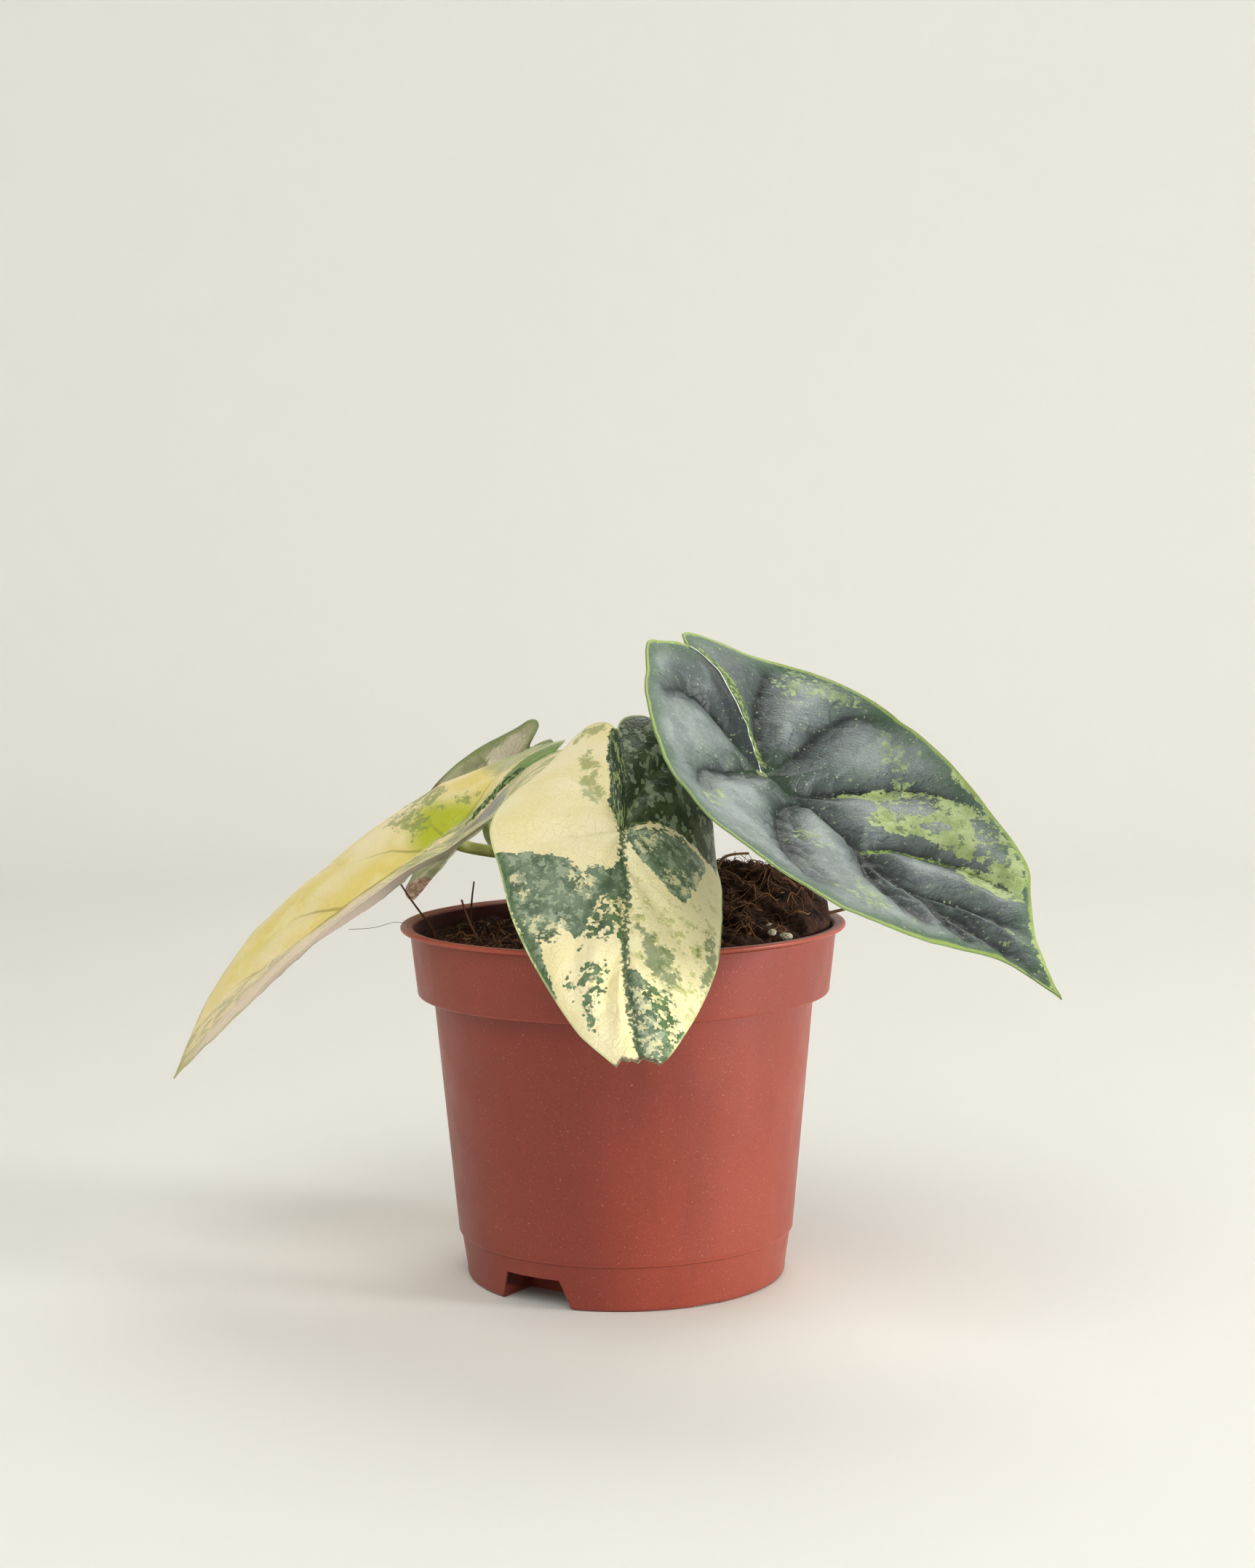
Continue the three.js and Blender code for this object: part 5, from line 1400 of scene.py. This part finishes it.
def pot_profile():
    """Section of the pot, from the middle of its underside round the rim to the middle of its floor."""
    ledge = COLLAR_FOOT_Z + WALL
    inner_top = collar_radius(POT_HEIGHT - 1) - WALL
    outside = [(0, 0)]
    outside += arc((BASE_RADIUS - 1.2, 1.2), 1.2, -90, 0, 6)
    step_foot = (FOOT_STEP_RADIUS - FOOT_STEP_DEPTH, FOOT_STEP_Z - 0.35)
    outside += straight((BASE_RADIUS + 0.05, 2.4), step_foot, 8)
    outside += [(FOOT_STEP_RADIUS - 0.15, FOOT_STEP_Z), (FOOT_STEP_RADIUS, FOOT_STEP_Z + 0.25)]
    body_top = (BODY_TOP_RADIUS, COLLAR_FOOT_Z - 0.3)
    outside += straight((FOOT_STEP_RADIUS + 0.1, FOOT_STEP_Z + 1.5), body_top, 26)
    outside += arc((COLLAR_FOOT_RADIUS - 0.7, COLLAR_FOOT_Z + 0.7), 0.7, -90, 0, 6)
    collar_top = (COLLAR_TOP_RADIUS - 0.2, POT_HEIGHT - 2)
    outside += straight((COLLAR_FOOT_RADIUS + 0.1, COLLAR_FOOT_Z + 1.8), collar_top, 12)
    outside += [(COLLAR_TOP_RADIUS + 0.5, POT_HEIGHT - 1.6), (LIP_RADIUS - 0.7, POT_HEIGHT - 1.35)]
    outside += arc((LIP_RADIUS - 0.68, POT_HEIGHT - 0.68), 0.67, -80, 100, 9)
    outside += [(LIP_RADIUS - 1.8, POT_HEIGHT - 0.05), (COLLAR_TOP_RADIUS - 0.4, POT_HEIGHT - 0.35)]
    inside = [(inner_top, POT_HEIGHT - 1)]
    collar_inside = (collar_radius(POT_HEIGHT - 2) - WALL, POT_HEIGHT - 2)
    inside += straight(collar_inside, (COLLAR_FOOT_RADIUS - WALL, ledge + 0.4), 8)
    inside += [(BODY_TOP_RADIUS - WALL + 0.3, ledge)]
    body_inside = (BODY_TOP_RADIUS - WALL, ledge - 0.6)
    inside += straight(body_inside, (FOOT_STEP_RADIUS - WALL, FOOT_STEP_Z + 0.2), 12)
    inside += [(wall_radius(FOOT_STEP_Z - 0.4) - WALL, FOOT_STEP_Z - 0.4), (BASE_RADIUS - WALL, FLOOR + 1.2)]
    inside += [(BASE_RADIUS - WALL - 0.9, FLOOR), (0, FLOOR)]
    return outside + inside


def turned(name, profile, segments):
    places, rings = [], []
    for radius, z in profile:
        if radius == 0:
            rings.append([len(places)] * segments)
            places.append((0, 0, z))
            continue
        rings.append(list(range(len(places), len(places) + segments)))
        places.extend(ring_of(radius, z, segments))
    faces = []
    for low, high in zip(rings, rings[1:]):
        for k in range(segments):
            after = (k + 1) % segments
            faces.append(tuple(dict.fromkeys((low[k], low[after], high[after], high[k]))))
    return make_mesh(name, places, faces)


def radial_trapezoid(foot_width, roof_width, low, high, start, end, bearing):
    """A prism with a trapezoid section that runs outwards from a radius."""
    foot, roof = foot_width / 2, roof_width / 2
    turn = math.radians(bearing)
    places = []
    for radius in (start, end):
        for half, z in ((-foot, low), (foot, low), (roof, high), (-roof, high)):
            places.append((
                radius * math.cos(turn) - half * math.sin(turn),
                radius * math.sin(turn) + half * math.cos(turn),
                z,
            ))
    faces = [(0, 1, 2, 3), (7, 6, 5, 4), (0, 4, 5, 1), (1, 5, 6, 2), (2, 6, 7, 3), (3, 7, 4, 0)]
    return make_mesh("cutter", places, faces)


def combine(target, operand, operation):
    """Joins or cuts one object by another for good, and removes the other."""
    modifier = target.modifiers.new("combine", "BOOLEAN")
    modifier.operation = operation
    modifier.object = operand
    modifier.solver = "EXACT"
    bpy.context.view_layer.update()
    evaluated = target.evaluated_get(bpy.context.evaluated_depsgraph_get())
    result = bpy.data.meshes.new_from_object(evaluated)
    target.modifiers.clear()
    target.data = result
    bpy.data.objects.remove(operand)


def make_pot(material):
    shell = turned("pot_shell", pot_profile(), POT_SEGMENTS)
    slope = (POCKET_FOOT_WIDTH - POCKET_ROOF_WIDTH) / POCKET_HEIGHT
    start = BASE_RADIUS - POCKET_DEPTH
    for bearing in POCKET_BEARINGS:
        roof = POCKET_HEIGHT + WALL
        wide = POCKET_FOOT_WIDTH + 2 * WALL
        raised = radial_trapezoid(wide, wide - slope * roof, 0.3, roof, start - WALL, BASE_RADIUS, bearing)
        bound = [(0, -1), (BASE_RADIUS - 1.2, -1), (BASE_RADIUS - 0.3, roof + 2), (0, roof + 2)]
        combine(raised, turned("cutter", bound, 96), "INTERSECT")
        combine(shell, raised, "UNION")
        tunnel = radial_trapezoid(
            POCKET_FOOT_WIDTH + slope, POCKET_ROOF_WIDTH, -1, POCKET_HEIGHT, start, LIP_RADIUS, bearing,
        )
        combine(shell, tunnel, "DIFFERENCE")
        turn = math.radians(bearing)
        reach = start + DRAIN_RADIUS + 1.6
        ends = (POCKET_HEIGHT - 2, POCKET_HEIGHT + 3)
        axis = [(reach * math.cos(turn), reach * math.sin(turn), z) for z in ends]
        places, faces = tube(axis, (DRAIN_RADIUS, DRAIN_RADIUS), 24)
        combine(shell, make_mesh("cutter", places, faces), "DIFFERENCE")
    for bearing in NOTCH_BEARINGS:
        notch = radial_trapezoid(
            NOTCH_WIDTH, NOTCH_WIDTH, -1, NOTCH_HEIGHT, BASE_RADIUS - NOTCH_DEPTH, LIP_RADIUS, bearing,
        )
        combine(shell, notch, "DIFFERENCE")
    mesh = shell.data
    mesh.shade_smooth()
    mesh.set_sharp_from_angle(angle=math.radians(32))
    places = np.array([vertex.co for vertex in mesh.vertices]) / MM
    radius, z = np.hypot(places[:, 0], places[:, 1]), places[:, 2]
    outer = np.array([collar_radius(h) if h > COLLAR_FOOT_Z else wall_radius(max(h, 0)) for h in z])
    # Painted highlight: a lighter line along the lip and at the foot step and the collar foot.
    edge = smoothstep(radius, LIP_RADIUS - 0.7, LIP_RADIUS)
    for ledge in (FOOT_STEP_Z + 0.2, COLLAR_FOOT_Z + 0.3):
        edge = np.maximum(edge, 0.8 * (np.abs(z - ledge) < 0.3))
    # Painted shade: marks the inner wall, which the material darkens as the shade inside the pot.
    inside = (radius < outer - WALL / 2) & (z > FLOOR / 2)
    set_fields(mesh, {"edge": edge * (radius > outer - 0.6), "inside": inside})
    dress(shell, material, "pot_plastic", "pot")


# Root ball

def soil_height(x, y):
    ramp = SOIL_RAMP * smoothstep(x, SOIL_RAMP_START, SOIL_RAMP_END)
    along = ((x - MOUND_CENTRE[0]) / MOUND_REACH[0]) ** 4
    across = ((y - MOUND_CENTRE[1]) / MOUND_REACH[1]) ** 2
    mound = MOUND_HEIGHT * np.exp(-along - across)
    clods = (
        np.sin(0.41 * x + 1.3) * np.sin(0.47 * y + 0.4)
        + 0.6 * np.sin(0.83 * x + 0.71 * y)
        + 0.5 * np.sin(0.67 * x - 1.07 * y + 2)
    )
    return SOIL_LOW + ramp + mound + CLOD_HEIGHT * clods


def from_crown(x, y):
    return math.hypot(x - CORM_CENTRE[0], y - CORM_CENTRE[1])


def crumbled_height(x, y):
    """Height of the soil with its crumbs, at one place."""
    rough = noise.fractal(Vector((x * 0.16, y * 0.16, 3.0)), 0.7, 2.1, 5)
    return float(soil_height(x, y)) + CRUMB_HEIGHT * rough


def soil_surface():
    """Places and faces of the root ball: its crumbled top, its side and its underside."""
    places = []
    rim_limit = POT_HEIGHT - 1.2
    angles = np.arange(SOIL_SPOKES) * 2 * math.pi / SOIL_SPOKES
    edge = []
    for angle in angles:
        radius = collar_radius(POT_HEIGHT) - WALL - SOIL_GAP
        height = min(rim_limit, crumbled_height(radius * math.cos(angle), radius * math.sin(angle)))
        edge.append((collar_radius(height) - WALL - SOIL_GAP, height))
    places.append((0, 0, crumbled_height(0, 0)))
    for ring in range(1, SOIL_RINGS + 1):
        share = ring / SOIL_RINGS
        for angle, (radius, height) in zip(angles, edge):
            x, y = radius * share * math.cos(angle), radius * share * math.sin(angle)
            places.append((x, y, height if ring == SOIL_RINGS else crumbled_height(x, y)))
    thick = WALL + SOIL_GAP
    ledge = COLLAR_FOOT_Z + thick
    sides = (
        (COLLAR_FOOT_RADIUS - thick, ledge + 0.2), (BODY_TOP_RADIUS - thick, ledge - 0.3),
        (FOOT_STEP_RADIUS - thick, FOOT_STEP_Z + 0.2),
        (BASE_RADIUS - thick - POCKET_DEPTH, FLOOR + POCKET_HEIGHT + 2),
    )
    for radius, z in sides:
        for angle in angles:
            places.append((radius * math.cos(angle), radius * math.sin(angle), z))
    places.append((0, 0, sides[-1][1]))
    rings = SOIL_RINGS + len(sides)
    faces = fanned_rings(rings, SOIL_SPOKES)
    base = 1 + (rings - 1) * SOIL_SPOKES
    for k in range(SOIL_SPOKES):
        faces.append((base + k, len(places) - 1, base + (k + 1) % SOIL_SPOKES))
    return places, faces


def fibre_points(draw):
    """A curling fibre that lies on the soil, or None where it would leave the pot."""
    angle, radius = draw.uniform(0, 2 * math.pi), FIBRE_START_REACH * math.sqrt(draw.random())
    x, y = radius * math.cos(angle), radius * math.sin(angle)
    heading = draw.uniform(0, 2 * math.pi)
    steps = draw.randint(6, 13)
    stride = draw.uniform(0.9, 1.7)
    bend = draw.uniform(-0.35, 0.35)
    lift = draw.uniform(0.2, 1.5) + (draw.uniform(1.5, 4) if draw.random() < 0.04 else 0)
    points = []
    for step in range(steps + 1):
        share = step / steps
        height = crumbled_height(x, y) + lift * math.sin(math.pi * share) - 0.5
        points.append((x, y, height))
        heading += bend + draw.uniform(-0.45, 0.45)
        x += stride * math.cos(heading)
        y += stride * math.sin(heading)
        if math.hypot(x, y) > FIBRE_LIMIT or from_crown(x, y) < FIBRE_CROWN_GAP:
            return None
    return points


def make_soil(material):
    places, faces = soil_surface()
    tones, fibred = [0.0] * len(places), [0.0] * len(places)
    draw = random.Random(FIBRE_SEED)

    def add(more, more_faces, tone):
        base = len(places)
        places.extend(more)
        faces.extend(tuple(corner + base for corner in face) for face in more_faces)
        tones.extend([tone] * len(more))
        fibred.extend([1.0] * len(more))

    made = 0
    while made < FIBRE_COUNT:
        points = fibre_points(draw)
        if points is None:
            continue
        thick = draw.uniform(0.06, 0.17) if draw.random() < 0.9 else draw.uniform(0.17, 0.42)
        radii = np.linspace(thick, thick * 0.6, len(points))
        add(*tube(points, radii, 3), draw.random() ** 2.1)
        made += 1
    for points, radius in STICKS:
        line = curve_through(points, 16)
        add(*tube(line, np.linspace(radius * 0.7, radius, len(line)), 6), 0.35)
    for _ in range(CHIP_COUNT):
        angle, reach = draw.uniform(0, 2 * math.pi), CHIP_REACH * math.sqrt(draw.random())
        x, y = reach * math.cos(angle), reach * math.sin(angle)
        if from_crown(x, y) < CHIP_CROWN_GAP:
            continue
        length, turn = draw.uniform(1.5, 4), draw.uniform(0, 2 * math.pi)
        z = crumbled_height(x, y) + 0.1
        tip = (x + length * math.cos(turn), y + length * math.sin(turn), z + draw.uniform(-0.6, 0.9))
        middle = tuple((a + b) / 2 for a, b in zip((x, y, z), tip))
        add(*tube([(x, y, z), middle, tip], [0.4, draw.uniform(0.6, 1.1), 0.35], 5, 0.5), draw.random() * 0.5)
    piece = make_mesh("root_ball", places, faces, {"tone": tones, "fibre": fibred})
    dress(piece, material, "root_ball", "soil")


def make_perlite(material):
    for name, ((x, y), size) in PERLITE.items():
        ball = bmesh.new()
        bmesh.ops.create_icosphere(ball, subdivisions=4, radius=1)
        for vertex in ball.verts:
            rough = 1 + 0.22 * noise.noise(vertex.co * 2.2 + Vector((x, y, 0)))
            vertex.co = Vector([c * s for c, s in zip(vertex.co, size)]) * min(rough, 1.05)
            vertex.co += Vector((x, y, float(soil_height(x, y)) + size[2] * 0.6))
        ball.verts.ensure_lookup_table()
        places = [tuple(vertex.co) for vertex in ball.verts]
        faces = [tuple(vertex.index for vertex in face.verts) for face in ball.faces]
        ball.free()
        dress(make_mesh(name + "_grain", places, faces), material, "perlite", name)


# Studio

def make_studio():
    """A pale floor that curves up into a wall all round, and an even surround."""
    look = Finish("studio_floor", 0.9, 0.2)
    material = look.finish(colour(STUDIO_TINT))
    profile = [(0, 0), (300, 0), (STUDIO_FLAT, 0)]
    profile += arc((STUDIO_FLAT, STUDIO_BEND), STUDIO_BEND, -90, 0, 16)[1:]
    profile += [(STUDIO_FLAT + STUDIO_BEND, STUDIO_TOP)]
    places = [(0, 0, 0)]
    for radius, z in profile[1:]:
        places.extend(ring_of(radius, z, STUDIO_SEGMENTS))
    faces = fanned_rings(len(profile) - 1, STUDIO_SEGMENTS)
    mesh = bpy.data.meshes.new("studio_floor")
    mesh.from_pydata((np.array(places) * MM).tolist(), [], faces)
    mesh.shade_smooth()
    floor = bpy.data.objects.new("studio_floor", mesh)
    bpy.context.scene.collection.objects.link(floor)
    floor.data.materials.append(material)
    world = bpy.data.worlds.new("studio_air")
    world.use_nodes = True
    air = world.node_tree.nodes["Background"].inputs
    air["Color"].default_value = AIR_TINT
    air["Strength"].default_value = AIR_STRENGTH
    bpy.context.scene.world = world


def add_softbox(name, place, size, power, tint):
    light = bpy.data.lights.new(name, "AREA")
    light.shape = "DISK"
    light.size = size
    light.energy = power
    light.color = tint
    lamp = bpy.data.objects.new(name, light)
    lamp.location = place
    lamp.rotation_euler = (Vector(LIGHT_AIM) - Vector(place)).to_track_quat("-Z", "Y").to_euler()
    lamp.visible_camera = False
    bpy.context.scene.collection.objects.link(lamp)


def make_camera():
    yaw, pitch, roll = (math.radians(a) for a in (CAMERA_YAW, CAMERA_PITCH, CAMERA_ROLL))
    forward = Vector((math.sin(yaw) * math.cos(pitch), math.cos(yaw) * math.cos(pitch), -math.sin(pitch)))
    level = Vector((math.cos(yaw), -math.sin(yaw), 0))
    upright = level.cross(forward)
    right = math.cos(roll) * level + math.sin(roll) * upright
    up = -math.sin(roll) * level + math.cos(roll) * upright
    data = bpy.data.cameras.new("camera")
    data.sensor_width = CAMERA_SENSOR
    data.lens = CAMERA_LENS
    data.clip_start, data.clip_end = 0.01, 20
    camera = bpy.data.objects.new("camera", data)
    turn = Matrix((right, up, -forward)).transposed()
    camera.matrix_world = Matrix.Translation(CAMERA_PLACE) @ turn.to_4x4()
    bpy.context.scene.collection.objects.link(camera)
    bpy.context.scene.camera = camera


bpy.context.scene.view_settings.view_transform = "Standard"
make_camera()
make_studio()
for light_values in LIGHTS:
    add_softbox(*light_values)

make_pot(plastic())
make_soil(peat())
make_perlite(perlite_skin())
make_crown(crown_skin())
for side, (light, dark) in STALK_TINTS.items():
    make_stalk("petiole_" + side, stalk_skin(side + "_stalk_skin", light, dark))
for side, skin in (("right", silver_skin), ("front", cream_skin), ("left", yellow_skin), ("back", grey_skin)):
    make_blade("leaf_" + side, skin())
